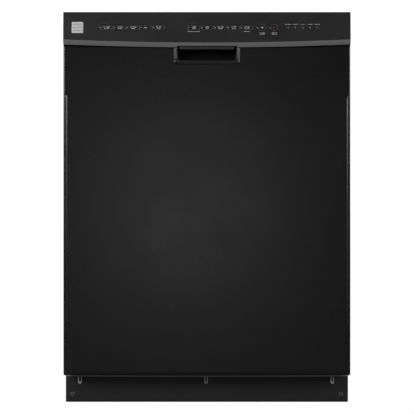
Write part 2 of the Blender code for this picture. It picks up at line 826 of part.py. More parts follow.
def make_gasket():
    """A round rubber seal between the tub's flange and the door's liner."""
    y = (TUB_FRONT_Y + LINER_Y) / 2
    half = TUB_HALF + 0.001
    low = TUB_FLOOR_Z + TUB_WALL
    high = TUB_TOP_Z - GASKET_R - TUB_WALL
    r = TUB_CORNER
    path = [
        *arc((half - r, high - r), r, 0, 90, 3),
        *arc((-half + r, high - r), r, 90, 180, 3),
        *arc((-half + r, low + r), r, 180, 270, 3),
        *arc((half - r, low + r), r, 270, 360, 3),
    ]
    mesh = tube_mesh([(x, y, z) for x, z in path], GASKET_R, cyclic=True)
    place_mesh("tub_gasket", mesh, "gasket_rubber")


def make_blanket():
    """A sound-deadening blanket over the tub's top, sides and back."""
    half = TUB_HALF + GAP + BLANKET_THICK
    front = TUB_FRONT_Y + BLANKET_START
    bm = box(
        (-half, front, BLANKET_BOTTOM_Z),
        (half, TUB_BACK_Y + GAP + BLANKET_THICK, TUB_TOP_Z + GAP + BLANKET_THICK),
    )
    low = BLANKET_BOTTOM_Z + 0.001
    round_edges(
        bm,
        TUB_CORNER + BLANKET_THICK - BLANKET_SLACK,
        lambda edge: middle(edge).y > front + 0.001 and middle(edge).z > low,
    )
    open_towards(bm, (0, -1, 0), (0, 0, -1))
    thicken(place("sound_blanket", bm, "blanket_felt"), BLANKET_THICK)


def make_base_rail(name, side):
    """One side of the base: a web with the hinge's ear, and a foot flange turned inwards."""
    ear_low = HINGE_Z - EAR_R
    ear_high = HINGE_Z + EAR_R
    web = [
        (RAIL_FRONT_Y, RAIL_BOTTOM_Z),
        (BACK_Y, RAIL_BOTTOM_Z),
        (BACK_Y, RAIL_TOP_Z),
        (RAIL_FRONT_Y - 0.008, RAIL_TOP_Z),
        (RAIL_FRONT_Y - 0.022, ear_high),
        *arc((HINGE_Y, HINGE_Z), EAR_R, 90, 270, 8),
        (RAIL_FRONT_Y, ear_low),
    ]
    mesh = plate_mesh(web, RAIL_WALL, YZ_TO_X, side * (RAIL_HALF - RAIL_WALL / 2))
    rail = place_mesh(name, mesh, "galvanised")
    edges = sorted((side * RAIL_HALF, side * (RAIL_HALF - RAIL_FLANGE)))
    flange = solid_box(
        f"flange_{name}",
        (edges[0], RAIL_FRONT_Y, RAIL_BOTTOM_Z),
        (edges[1], BACK_Y, RAIL_BOTTOM_Z + RAIL_WALL),
        None,
    )
    join(rail, flange)
    start = side * (RAIL_HALF - 0.01)
    end = side * (RAIL_HALF + 0.01)
    pin = cylinder(PIN_R + RUN, (start, HINGE_Y, HINGE_Z), (end, HINGE_Y, HINGE_Z), 16)
    cut(rail, place(f"pin_hole_{name}", pin, None))
    for i, y in enumerate(FOOT_Y):
        x = side * (RAIL_HALF - FOOT_INSET)
        hole = cylinder(FOOT_STUD_R + RUN, (x, y, 0), (x, y, RAIL_BOTTOM_Z + 0.01), 16)
        cut(rail, place(f"foot_hole_{name}_{i}", hole, None))
    return rail


def make_feet():
    profile = [
        (0, FOOT_HEIGHT),
        (FOOT_STUD_R, FOOT_HEIGHT),
        (FOOT_STUD_R, FOOT_PAD_HEIGHT),
        (FOOT_PAD_R * 0.75, FOOT_PAD_HEIGHT),
        (FOOT_PAD_R, FOOT_PAD_HEIGHT * 0.6),
        (FOOT_PAD_R, 0),
        (0, 0),
    ]
    for end, y in zip(("front", "rear"), FOOT_Y):
        for word, side in (("left", -1), ("right", 1)):
            centre = (side * (RAIL_HALF - FOOT_INSET), y, 0)
            turned(f"foot_{end}_{word}", profile, "dark_grey_plastic", centre, 16)


def make_crossmember():
    """The bar that ties the two rails together at the back."""
    low = RAIL_BOTTOM_Z + RAIL_WALL + GAP
    high = low + CROSSMEMBER_HEIGHT
    back = BACK_Y - CROSSMEMBER_INSET
    front = back - CROSSMEMBER_DEPTH
    wall = RAIL_WALL
    outline = [
        (back, low),
        (back, high),
        (back - wall, high),
        (back - wall, low + wall),
        (front, low + wall),
        (front, low),
    ]
    length = 2 * (RAIL_HALF - RAIL_WALL - GAP)
    place_mesh("rear_crossmember", plate_mesh(outline, length, YZ_TO_X), "galvanised")


def make_toe_panel():
    """The kick plate under the door, slotted at the top where it hangs."""
    bm = box((-TOE_HALF, TOE_Y, TOE_BOTTOM_Z), (TOE_HALF, TOE_Y + TOE_DEPTH, TOE_TOP_Z))
    front = TOE_Y + 0.001
    round_edges(bm, 0.0025, lambda edge: middle(edge).y < front, 2)
    open_towards(bm, (0, 1, 0), (0, 0, -1))
    panel = thicken(place("toe_panel", bm, "black_paint"), TOE_WALL)
    for i in (-1, 0, 1):
        x = i * TOE_SLOT_X
        outline = [
            (x + TOE_SLOT_R, TOE_TOP_Z + 0.01),
            (x - TOE_SLOT_R, TOE_TOP_Z + 0.01),
            *arc((x, TOE_SLOT_Z), TOE_SLOT_R, 180, 360),
        ]
        mesh = plate_mesh(outline, 0.012, XZ_TO_Y, -TOE_Y)
        cut(panel, place_mesh(f"toe_slot_{i + 1}", mesh, None))
    return panel


def make_brackets():
    """Two tabs above the tub's front that screw up into a worktop."""
    wall = BRACKET_WALL
    low = TUB_TOP_Z + GAP
    high = HEIGHT - 0.0015
    front = TUB_FRONT_Y + BRACKET_SETBACK
    back = front + BRACKET_DEPTH
    outline = [
        (back, low),
        (back, low + wall),
        (front + wall, low + wall),
        (front + wall, high - wall),
        (back, high - wall),
        (back, high),
        (front, high),
        (front, low),
    ]
    for word, side in (("left", -1), ("right", 1)):
        mesh = plate_mesh(outline, BRACKET_WIDTH, YZ_TO_X, side * BRACKET_X)
        place_mesh(f"mounting_bracket_{word}", mesh, "galvanised")


def make_hinge_springs():
    """Coil springs under the tub's sides that balance the door."""
    turns = 10
    points_per_turn = 7
    coil_r = 0.0075
    wire_r = 0.0014
    start = TOE_Y + 0.070
    length = 0.165
    z = HINGE_Z + 0.014
    count = turns * points_per_turn
    for word, side in (("left", -1), ("right", 1)):
        x = side * (RAIL_HALF - 0.020)
        points = []
        for i in range(count + 1):
            angle = 2 * math.pi * i / points_per_turn
            points.append(
                (x + coil_r * math.cos(angle), start + length * i / count, z + coil_r * math.sin(angle))
            )
        mesh = tube_mesh(points, wire_r, roundness=0)
        place_mesh(f"hinge_spring_{word}", mesh, "galvanised")


# Wash system


def make_sump():
    """The bowl under the tub's floor, with the filter cup that stands in it."""
    top = -TUB_WALL - GAP
    deep = top - SUMP_DEPTH
    wall = SUMP_WALL
    taper = 0.010
    profile = [
        (0, deep + wall),
        (SUMP_R - taper - wall, deep + wall),
        (SUMP_R - wall, top),
        (SUMP_FLANGE_R, top),
        (SUMP_FLANGE_R, top - wall),
        (SUMP_R, top - wall),
        (SUMP_R - taper, deep),
        (0, deep),
    ]
    turned("sump_housing", profile, "dark_grey_plastic", (0, SPRAY_Y, TUB_FLOOR_Z), 28)
    cup_top = FILTER_RISE
    cup_low = deep + wall + GAP
    cup = [
        (0, cup_low + 0.002),
        (FILTER_R - 0.002, cup_low + 0.002),
        (FILTER_R - 0.002, cup_top),
        (FILTER_R + 0.003, cup_top),
        (FILTER_R + 0.003, cup_top - 0.003),
        (FILTER_R, cup_top - 0.003),
        (FILTER_R, cup_low),
        (0, cup_low),
    ]
    turned("filter_cup", cup, "grey_plastic", (0, SPRAY_Y, TUB_FLOOR_Z), 24)


def make_pump(name, side, radius, neck_r, length):
    """A motor can lying along X beside the sump, with a neck towards it."""
    z = TUB_FLOOR_Z - TUB_WALL - 0.052
    neck = SUMP_R - 0.002
    can = neck + 0.020
    profile = [(0, length), (radius * 0.85, length), (radius, length - 0.008), (radius, 0.006)]
    profile += [(radius * 0.8, 0), (neck_r, 0), (neck_r, neck - can), (0, neck - can)]
    pump = turned(name, profile, "dark_grey_plastic", (side * can, SPRAY_Y, z), 20)
    pump.rotation_euler = (0, side * math.pi / 2, 0)
    return pump


def make_inlet_valve():
    """The water valve behind the toe panel, with the stub its hose pushes on to."""
    low = Vector(VALVE_CORNER)
    high = low + Vector(VALVE_SIZE)
    valve = solid_box("inlet_valve", low, high, "dark_grey_plastic", 0.004, "Z")
    x = (low.x + high.x) / 2
    z = low.z + VALVE_STUB_RISE
    stub = cylinder(VALVE_STUB_R, (x, high.y - 0.002, z), (x, high.y + VALVE_STUB_LENGTH, z))
    return join(valve, place("valve_stub", stub, None))


def make_junction_box():
    """The steel box behind the toe panel where the house wiring ends."""
    low = Vector(JUNCTION_CORNER)
    solid_box("junction_box", low, low + Vector(JUNCTION_SIZE), "galvanised", 0.003, "Z")


def make_heater():
    bpy.ops.mesh.primitive_torus_add(
        location=(0, 0, 0),
        major_radius=HEATER_R,
        minor_radius=HEATER_WIRE_R,
        major_segments=36,
        minor_segments=6,
    )
    made = bpy.context.object
    mesh = made.data.copy()
    bpy.data.objects.remove(made, do_unlink=True)
    mesh.transform(Matrix.Translation((0, SPRAY_Y, TUB_FLOOR_Z + HEATER_RISE)))
    place_mesh("heating_element", mesh, "galvanised")


def make_feed_tube():
    """The pipe up the tub's back wall and along its ceiling to the top nozzle."""
    back = TUB_BACK_Y - TUB_WALL - 0.024
    top = TUB_TOP_Z - TUB_WALL - 0.016
    bend = FEED_BEND
    points = [(0, back, TUB_FLOOR_Z + 0.008)]
    points += [(0, y, z) for y, z in arc((back - bend, top - bend), bend, 0, 90)]
    points.append((0, SPRAY_Y, top))
    tube = place_mesh("feed_tube", tube_mesh(points, FEED_R), "grey_plastic")
    nozzle = cylinder(0.022, (0, SPRAY_Y, top - 0.014), (0, SPRAY_Y, top + 0.004), 16)
    return join(tube, place("top_nozzle", nozzle, None))


def make_spray_arm(name, z, half_length):
    """A flat arm tapering to both ends, on a round hub."""
    end_r = ARM_HALF_WIDTH * 0.6
    reach = half_length - end_r
    outline = [
        (ARM_HUB_R, -ARM_HALF_WIDTH),
        *arc((reach, 0), end_r, -90, 90),
        (ARM_HUB_R, ARM_HALF_WIDTH),
        (-ARM_HUB_R, ARM_HALF_WIDTH),
        *arc((-reach, 0), end_r, 90, 270),
        (-ARM_HUB_R, -ARM_HALF_WIDTH),
    ]
    mesh = plate_mesh(outline, ARM_THICK, FLAT, ARM_THICK / 2)
    mesh.transform(Matrix.Translation((0, SPRAY_Y, z)))
    arm = place_mesh(name, mesh, "grey_plastic", (0, SPRAY_Y, z))
    hub = cylinder(ARM_HUB_R, (0, SPRAY_Y, z - 0.006), (0, SPRAY_Y, z + ARM_THICK + 0.003), 20)
    return join(arm, place(f"hub_{name}", hub, None))


def make_float():
    """The overfill float: a low dome that lifts with the water."""
    profile = [
        (0, FLOAT_HEIGHT),
        (FLOAT_R * 0.6, FLOAT_HEIGHT - 0.001),
        (FLOAT_R * 0.9, FLOAT_HEIGHT - 0.005),
        (FLOAT_R, FLOAT_HEIGHT - 0.010),
        (FLOAT_R, 0),
        (0, 0),
    ]
    turned("float", profile, "grey_plastic", (FLOAT_X, FLOAT_Y, TUB_FLOOR_Z + 0.001), 16)


# Racks and what is in them


def make_rack(name, z, height):
    """An open-topped basket of square wires, no cell wider than CELL."""
    low = (-RACK_HALF, RACK_FRONT_Y, z)
    high = (RACK_HALF, RACK_BACK_Y, z + height)
    bm = open_towards(box(low, high), (0, 0, 1))
    for axis in range(3):
        length = high[axis] - low[axis]
        cells = math.ceil(length / CELL)
        normal = Vector((0, 0, 0))
        normal[axis] = 1
        for i in range(1, cells):
            point = Vector(low) + normal * length * i / cells
            geom = [*bm.verts, *bm.edges, *bm.faces]
            bmesh.ops.bisect_plane(bm, geom=geom, plane_co=point, plane_no=normal, dist=1e-6)
    rack = place(name, bm, "rack_vinyl")
    wires = rack.modifiers.new("wires", "WIREFRAME")
    wires.thickness = RACK_WIRE
    wires.use_boundary = True
    wires.use_even_offset = True
    wires.use_relative_offset = False
    return rack


def make_silverware_basket():
    """A bin with an open-topped cell for each group of cutlery."""
    low = Vector((BASKET_X, SPRAY_Y - BASKET_LENGTH / 2, LOWER_RACK_Z + RACK_WIRE / 2 + 0.002))
    high = low + Vector((BASKET_WIDTH, BASKET_LENGTH, BASKET_HEIGHT))
    basket = solid_box("silverware_basket", low, high, "grey_plastic", 0.008, "Z")
    cell = (BASKET_LENGTH - BASKET_WALL) / BASKET_CELLS
    for i in range(BASKET_CELLS):
        y = low.y + BASKET_WALL + i * cell
        hollow = solid_box(
            f"basket_cell_{i}",
            (low.x + BASKET_WALL, y, low.z + BASKET_WALL),
            (high.x - BASKET_WALL, y + cell - BASKET_WALL, high.z + 0.01),
            None,
            0.005,
            "Z",
        )
        cut(basket, hollow)
    return basket


def tine_axis_z():
    return LOWER_RACK_Z + RACK_WIRE / 2 + 0.004


def make_tine_row():
    """A row of plate tines on one rod, which folds down flat."""
    z = tine_axis_z()
    half = TINE_WIRE / 2
    first = SPRAY_Y - TINE_PITCH * (TINE_COUNT - 1) / 2
    last = first + TINE_PITCH * (TINE_COUNT - 1)
    outline = [(last + 0.012, z + half), (last + 0.012, z - half), (first - 0.012, z - half)]
    outline.append((first - 0.012, z + half))
    for i in range(TINE_COUNT):
        y = first + i * TINE_PITCH
        outline += [(y - half, z + half), (y - half, z + TINE_HEIGHT)]
        outline += [(y + half, z + TINE_HEIGHT), (y + half, z + half)]
    mesh = plate_mesh(outline, TINE_WIRE, YZ_TO_X, TINE_X)
    place_mesh("fold_down_tines", mesh, "rack_vinyl", (TINE_X, SPRAY_Y, z))


def make_rack_rails():
    """The channels on the tub's walls that the upper rack rolls in."""
    wall = 0.0016
    inner = TUB_HALF - TUB_WALL - GAP
    for word, side in (("left", -1), ("right", 1)):
        out = side * inner
        lip = side * (inner - RACK_RAIL_WIDTH)
        web = side * (inner - wall)
        top = RACK_RAIL_Z + RACK_RAIL_HEIGHT
        outline = [
            (lip, RACK_RAIL_Z),
            (out, RACK_RAIL_Z),
            (out, top),
            (lip, top),
            (lip, top - wall),
            (web, top - wall),
            (web, RACK_RAIL_Z + wall),
            (lip, RACK_RAIL_Z + wall),
        ]
        length = RACK_BACK_Y - RACK_FRONT_Y
        centre = (RACK_BACK_Y + RACK_FRONT_Y) / 2
        mesh = plate_mesh(outline, length, XZ_TO_Y, -centre)
        place_mesh(f"rack_rail_{word}", mesh, "stainless")


def build():
    console = make_console()
    make_keys(console)
    make_status_lights(console)
    make_badge()
    make_control_board()
    make_door_panel()
    make_handle_pocket()
    make_latch_paddle()
    make_latch()
    make_inner_liner()
    make_dispenser()
    make_tub()
    make_gasket()
    make_blanket()
    for word, side in (("left", -1), ("right", 1)):
        make_hinge_arm(f"hinge_arm_{word}", side)
        make_base_rail(f"base_rail_{word}", side)
    make_crossmember()
    make_toe_panel()
    make_feet()
    make_brackets()
    make_hinge_springs()
    make_sump()
    make_pump("wash_pump", 1, 0.042, 0.016, 0.130)
    make_pump("drain_pump", -1, 0.030, 0.010, 0.070)
    make_inlet_valve()
    make_junction_box()
    make_heater()
    make_feed_tube()
    make_spray_arm("lower_spray_arm", LOWER_ARM_Z, LOWER_ARM_HALF)
    make_spray_arm("upper_spray_arm", UPPER_RACK_Z - 0.022, UPPER_ARM_HALF)
    make_float()
    make_rack("lower_rack", LOWER_RACK_Z, LOWER_RACK_HEIGHT)
    make_rack("upper_rack", UPPER_RACK_Z, UPPER_RACK_HEIGHT)
    make_rack_rails()
    make_silverware_basket()
    make_tine_row()


clear_scene()
parts = new_collection("built_in_dishwasher")
cutters = new_collection("cutters")
build()
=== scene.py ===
"""Looks of a built-in dishwasher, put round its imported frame.

The file is laid out as a Blender add-on and is run as a script. Metres, +Z up, the front faces -Y.
Surfaces are worked out with numpy as points (n, 3) and quads (m, 4), here called a shell.
"""

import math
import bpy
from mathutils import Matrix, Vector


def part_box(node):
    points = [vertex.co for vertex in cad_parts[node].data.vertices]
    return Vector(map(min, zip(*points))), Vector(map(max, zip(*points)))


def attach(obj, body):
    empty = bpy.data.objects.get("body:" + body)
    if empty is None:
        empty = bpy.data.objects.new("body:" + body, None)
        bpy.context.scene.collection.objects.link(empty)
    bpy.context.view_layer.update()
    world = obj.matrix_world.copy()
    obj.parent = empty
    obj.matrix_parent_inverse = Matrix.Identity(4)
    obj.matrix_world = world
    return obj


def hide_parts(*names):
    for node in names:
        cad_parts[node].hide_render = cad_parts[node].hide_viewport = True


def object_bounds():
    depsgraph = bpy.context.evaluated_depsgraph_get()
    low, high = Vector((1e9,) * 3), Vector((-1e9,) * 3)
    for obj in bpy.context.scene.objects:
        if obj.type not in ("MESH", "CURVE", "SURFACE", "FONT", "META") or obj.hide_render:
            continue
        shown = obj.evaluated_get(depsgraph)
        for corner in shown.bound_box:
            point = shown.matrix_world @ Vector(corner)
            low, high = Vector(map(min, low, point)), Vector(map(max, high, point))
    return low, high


bl_info = {
    "name": "Built-in Dishwasher Looks", "version": (1, 0, 0), "blender": (4, 5, 0),
    "location": "3D View > Sidebar > Dishwasher",
    "description": "Surfaces, finishes and stage for a built-in dishwasher", "category": "Object"
}

import bmesh
import bpy
import numpy as np
from bpy.props import FloatProperty, FloatVectorProperty, IntProperty, PointerProperty
from mathutils import Vector

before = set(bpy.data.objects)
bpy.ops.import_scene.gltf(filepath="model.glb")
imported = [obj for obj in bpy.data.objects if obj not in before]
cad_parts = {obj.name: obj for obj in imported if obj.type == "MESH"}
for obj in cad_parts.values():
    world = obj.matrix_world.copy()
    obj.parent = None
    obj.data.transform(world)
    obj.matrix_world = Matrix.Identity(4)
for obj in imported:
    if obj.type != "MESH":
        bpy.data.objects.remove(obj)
CAD_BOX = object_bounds()

# Places read from the frame
HIGH = CAD_BOX[1]
HALF = HIGH.x
FRONT_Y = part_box("control_console")[0].y
HEIGHT = HIGH.z
PANEL_LOW, PANEL_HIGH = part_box("door_panel")
TUB_LOW, TUB_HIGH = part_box("tub")
LINER_LOW, LINER_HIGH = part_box("inner_door_liner")
TOE_LOW, TOE_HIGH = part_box("toe_panel")
KEY_LOW, KEY_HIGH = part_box("cycle_key_normal")
KEY_Z = (KEY_LOW.z + KEY_HIGH.z) / 2

# The console's leaning face and its sagging lip
LEAN = math.radians(3.5)
LIP_DROP = 0.0584
LIP_SAG = 0.0066
LIP_HEIGHT = 0.0103
LIP_SETBACK = 0.0030
LIP_TOP_LOW_Z = HEIGHT - LIP_DROP - LIP_SAG
MOUTH_HALF = 0.0628
MOUTH_TOP_Z = 0.7599
MOUTH_BOTTOM_Z = 0.7301
MOUTH_CORNER = 0.0080

# Keys and lights on the console
KEY_SIZE = (0.0260, 0.0114)
KEY_PROUD = 0.0005
KEY_THICK = 0.0055
KEY_CORNER = 0.0025
ROUND_KEY_R = 0.0081
START_X = 0.1169
CANCEL_X = 0.1420
LIGHT_X = 0.1715
LIGHT_PITCH = 0.0153
LIGHT_COUNT = 5
INK_OUT = 0.00002  # how far printed blocks stand off the face
INK_THICK = 0.00006

# Tub and hinges
TUB_FLOOR_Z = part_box("float")[0].z - 0.001
TUB_WALL = 0.003
TUB_TOP_Z = TUB_HIGH.z - 0.006
TUB_BACK_Y = TUB_HIGH.y
TUB_HALF = HALF - 0.0085
TUB_CORNER = 0.030
HINGE_Y = PANEL_LOW.y + 0.020
HINGE_Z = PANEL_LOW.z + 0.016

# Directions of a shell's own u, v and outward w, for each way that it can look
FRONT = np.array([[1, 0, 0], [0, 0, 1], [0, -1, 0]], float)
BACK = np.array([[-1, 0, 0], [0, 0, 1], [0, 1, 0]], float)
UP = np.array([[1, 0, 0], [0, 1, 0], [0, 0, 1]], float)
RIGHT = np.array([[0, 1, 0], [0, 0, 1], [1, 0, 0]], float)
LEFT = np.array([[0, -1, 0], [0, 0, 1], [-1, 0, 0]], float)
FACE = np.array([[1, 0, 0], [0, math.sin(LEAN), math.cos(LEAN)], [0, -math.cos(LEAN), math.sin(LEAN)]])


# Shells


def quads_of(rows, cols, wrap_rows=False, wrap_cols=False):
    """Quads that join each point of a grid, row by row, to its neighbours."""
    index = np.arange(rows * cols).reshape(rows, cols)
    if wrap_rows:
        index = np.concatenate([index, index[:1]])
    if wrap_cols:
        index = np.concatenate([index, index[:, :1]], axis=1)
    return np.stack([index[:-1, :-1], index[1:, :-1], index[1:, 1:], index[:-1, 1:]], -1)


def grid(points, wrap_rows=False, wrap_cols=False, keep=None):
    """A shell from an array of points (rows, cols, 3). keep marks the cells that stay."""
    rows, cols = points.shape[:2]
    quads = quads_of(rows, cols, wrap_rows, wrap_cols)
    quads = quads[keep] if keep is not None else quads.reshape(-1, 4)
    return points.reshape(-1, 3), quads


def joined(shells):
    """Several shells as one: each one's quads count on from the points before it."""
    starts = np.cumsum([0] + [len(points) for points, _ in shells[:-1]])
    points = np.concatenate([points for points, _ in shells])
    quads = np.concatenate([quads + start for (_, quads), start in zip(shells, starts)])
    return points, quads


def placed(shell, at=(0, 0, 0), axes=UP):
    """A shell turned so that its u, v and w run along the axes, and moved to its place."""
    points, quads = shell
    return points @ axes + np.array(at, float), quads


def spun(angle):
    """Axes of a shell that is turned about its own w by the angle."""
    cos, sin = math.cos(angle), math.sin(angle)
    return np.array([[cos, sin, 0], [-sin, cos, 0], [0, 0, 1.0]])


def repeated(shell, places):
    """One shell at each of several places: its points plus each place in turn."""
    points, quads = shell
    places = np.asarray(places, float).reshape(-1, 3)
    many = (places[:, None, :] + points[None]).reshape(-1, 3)
    steps = np.arange(len(places)) * len(points)
    return many, (steps[:, None, None] + quads[None]).reshape(-1, 4)


def rounded(half_u, half_v, corner, steps=6):
    """A rounded rectangle's outline: a quarter circle about each corner's centre, in turn."""
    angle = (np.arange(4)[:, None] + np.linspace(0, 1, steps + 1)[None]) * math.pi / 2
    sign_u = np.array([1, -1, -1, 1])[:, None]
    sign_v = np.array([1, 1, -1, -1])[:, None]
    u = sign_u * (half_u - corner) + corner * np.cos(angle)
    v = sign_v * (half_v - corner) + corner * np.sin(angle)
    return np.stack([u, v], -1).reshape(-1, 2)


def evenly(path, count, closed=False):
    """The path's points spaced evenly along its length, by linear interpolation."""
    path = np.asarray(path, float)
    if closed:
        path = np.concatenate([path, path[:1]])
    steps = np.linalg.norm(np.diff(path, axis=0), axis=1)
    along = np.concatenate([[0], np.cumsum(steps)])
    at = np.linspace(0, along[-1], count, endpoint=not closed)
    return np.stack([np.interp(at, along, column) for column in path.T], -1)


def slab(half_u, half_v, corner, edge, depth, crown=0.0, steps=6, rounds=4):
    """A rounded block looking along w: outlines drawn in by edge*(1 - sin t) at depth edge*(1 - cos t),
    then straight back, with its front crowned and both faces closed at their middle."""
    t = np.linspace(0, math.pi / 2, rounds + 1)
    inset = np.concatenate([[edge * 1.3], edge * (1 - np.sin(t)), [0, 0, edge * 0.5]])
    w = np.concatenate([[0], -edge * (1 - np.cos(t)), [edge - depth, edge * 0.5 - depth, -depth]])
    radius = np.maximum(corner - inset, 1e-5)
    rings = [
        np.column_stack([rounded(half_u - i, half_v - i, r, steps), np.full(4 * steps + 4, z)])
        for i, r, z in zip(inset, radius, w)
    ]
    front = [rings[0] * [share, share, 0] for share in (0.0, 0.35, 0.7)]
    back = [rings[-1] * [0, 0, 1]]
    points = np.stack(front + rings + back)
    reach = np.clip(
        1 - (points[..., 0] / half_u) ** 2, 0, 1
    ) * np.clip(1 - (points[..., 1] / half_v) ** 2, 0, 1)
    points[..., 2] += crown * reach * (points[..., 2] > -edge)
    return grid(points, wrap_cols=True)


def turned(profile, sides=32, steps=1):
    """A profile of (radius, height) pairs turned about w. A radius of 0 closes it."""
    profile = np.asarray(profile, float)
    if steps > 1:
        at = np.arange(len(profile))
        fine = np.linspace(0, len(profile) - 1, (len(profile) - 1) * steps + 1)
        profile = np.stack([np.interp(fine, at, column) for column in profile.T], -1)
    angle = np.arange(sides) * 2 * math.pi / sides
    r = profile[:, :1]
    points = np.stack([r * np.cos(angle), r * np.sin(angle), np.repeat(profile[:, 1:], sides, 1)], -1)
    return grid(points, wrap_cols=True)


def tube(path, radius, across, sides=10, closed=False):
    """A round wire: a circle carried along the path, square to it, with its ends drawn in to a point.
    across is any direction off the path's own plane."""
    path = np.asarray(path, float)
    if closed:
        ahead = np.roll(path, -1, 0) - np.roll(path, 1, 0)
    else:
        ahead = np.gradient(path, axis=0)
    ahead /= np.linalg.norm(ahead, axis=1, keepdims=True)
    side = np.cross(ahead, np.asarray(across, float))
    side /= np.linalg.norm(side, axis=1, keepdims=True)
    rise = np.cross(side, ahead)
    angle = np.arange(sides) * 2 * math.pi / sides
    circle = np.cos(angle)[None, :, None] * side[:, None] + np.sin(angle)[None, :, None] * rise[:, None]
    points = path[:, None] + radius * circle
    if closed:
        return grid(points, wrap_rows=True, wrap_cols=True)
    ends = []
    for end, way in ((0, -1), (-1, 1)):
        lean = np.array([0.38, 0.71, 0.92])[:, None, None] * radius * way
        size = np.array([0.92, 0.71, 0.0])[:, None, None]
        ends.append(path[end] + lean * ahead[end] + size * radius * circle[end][None])
    return grid(np.concatenate([ends[0][::-1], points, ends[1]]), wrap_cols=True)


def bent(corners, radius, steps=5):
    """A path through straight runs with a curve at each corner: a Bezier from radius before it to radius
    after."""
    corners = np.asarray(corners, float)
    before, after = corners[:-2] - corners[1:-1], corners[2:] - corners[1:-1]
    before = corners[1:-1] + radius * before / np.linalg.norm(before, axis=1, keepdims=True)
    after = corners[1:-1] + radius * after / np.linalg.norm(after, axis=1, keepdims=True)
    t = np.linspace(0, 1, steps + 1)[None, :, None]
    curve = (1 - t) ** 2 * before[:, None] + 2 * t * (1 - t) * corners[1:-1, None] + t**2 * after[:, None]
    return np.concatenate([corners[:1], curve.reshape(-1, corners.shape[1]), corners[-1:]])


def tray(us, vs, edge, depth, sides="brtl", keep=None, rise=None, rounds=5):
    """A pan looking along w: a flat front on the lines us and vs, edges rounded by edge*sin t outwards and
    edge*(1 - cos t) back, and walls to the given depth on the named sides. rise(u, v) lifts the front."""
    u, v = np.meshgrid(us, vs, indexing="ij")
    w = rise(u, v) if rise else np.zeros_like(u)
    front = grid(np.stack([u, v, w], -1), keep=keep)
    turn = np.linspace(0, 1, 4)[1:-1] * math.pi / 2
    runs, normals, owners = [], [], []
    corners = {"b": (us[-1], vs[0]), "r": (us[-1], vs[-1]), "t": (us[0], vs[-1]), "l": (us[0], vs[0])}
    lines = {
        "b": np.column_stack([us, np.full(len(us), vs[0])]),
        "r": np.column_stack([np.full(len(vs), us[-1]), vs]),
        "t": np.column_stack([us[::-1], np.full(len(us), vs[-1])]),
        "l": np.column_stack([np.full(len(vs), us[0]), vs[::-1]]),
    }
    for i, side in enumerate("brtl"):
        out = (i - 1) * math.pi / 2
        runs += [lines[side], np.repeat([corners[side]], len(turn), 0)]
        angles = np.concatenate([np.full(len(lines[side]), out), out + turn])
        normals.append(np.column_stack([np.cos(angles), np.sin(angles)]))
        open_corner = side not in sides or "brtl"[(i + 1) % 4] not in sides
        owners += [side not in sides] * len(lines[side]) + [open_corner] * len(turn)
    core, normal, missing = np.concatenate(runs), np.concatenate(normals), np.array(owners)
    t = np.linspace(0, math.pi / 2, rounds + 1)
    out = np.concatenate([edge * np.sin(t), [edge, edge]])
    back = np.concatenate([edge * (1 - np.cos(t)), [min(2 * edge, depth), depth]])
    flat = core[None] + out[:, None, None] * normal[None]
    points = np.concatenate([flat, np.repeat(-back[:, None, None], len(core), 1)], -1)
    kept = ~(missing | np.roll(missing, -1))
    walls = grid(points, wrap_cols=True, keep=np.repeat(kept[None], len(out) - 1, 0))
    return joined([front, walls])


def blocks(places, sizes, thick):
    """Thin printed blocks on a face: each has eight corners, half its size out from its place."""
    places, sizes = np.asarray(places, float), np.asarray(sizes, float)
    unit = np.array(
        [[-1, -1, 0], [1, -1, 0], [1, 1, 0], [-1, 1, 0], [-1, -1, 1], [1, -1, 1], [1, 1, 1], [-1, 1, 1]]
    )
    spread = np.column_stack([sizes / 2, np.full(len(sizes), thick)])
    centres = np.column_stack([places, np.zeros(len(places))])
    points = centres[:, None] + unit[None] * spread[:, None]
    faces = np.array([[0, 3, 2, 1], [4, 5, 6, 7], [0, 1, 5, 4], [1, 2, 6, 5], [2, 3, 7, 6], [3, 0, 4, 7]])
    return points.reshape(-1, 3), (np.arange(len(places))[:, None, None] * 8 + faces[None]).reshape(-1, 4)


def make_piece(name, shells, finish_name, body, replaces=(), closed=True, sharp=40.0, wall=0.0):
    """Puts shells into one mesh with seams welded, a finish and its body. A wall is given when its thickness
    is asked for."""
    points, quads = joined(shells)
    mesh = bpy.data.meshes.new(name)
    mesh.from_pydata(points.tolist(), [], quads.tolist())
    bm = bmesh.new()
    bm.from_mesh(mesh)
    bmesh.ops.remove_doubles(bm, verts=bm.verts, dist=2e-6)
    bmesh.ops.dissolve_degenerate(bm, edges=bm.edges, dist=1e-7)
    if closed:
        bmesh.ops.recalc_face_normals(bm, faces=bm.faces)
    bm.to_mesh(mesh)
    bm.free()
    mesh.shade_smooth()
    mesh.set_sharp_from_angle(angle=math.radians(sharp))
    mesh.materials.append(finish(finish_name))
    made = bpy.data.objects.new(name, mesh)
    bpy.context.scene.collection.objects.link(made)
    if wall:
        solid = made.modifiers.new("wall", "SOLIDIFY")
        solid.thickness = wall
        solid.offset = -1.0
    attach(made, body)
    if replaces:
        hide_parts(*replaces)
    return made


def between(node):
    """The middle of a CAD node's box."""
    low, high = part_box(node)
    return np.array((low + high) / 2)


def on_face(x, z, out=0.0):
    """A place on the console's leaning face, or this far out in front of it."""
    y = FRONT_Y + math.tan(LEAN) * (z - LIP_TOP_LOW_Z)
    return np.array([x, y - out * math.cos(LEAN), z + out * math.sin(LEAN)])


SPRAY = between("filter_cup")  # middle of the sump and both spray arms


# Finishes


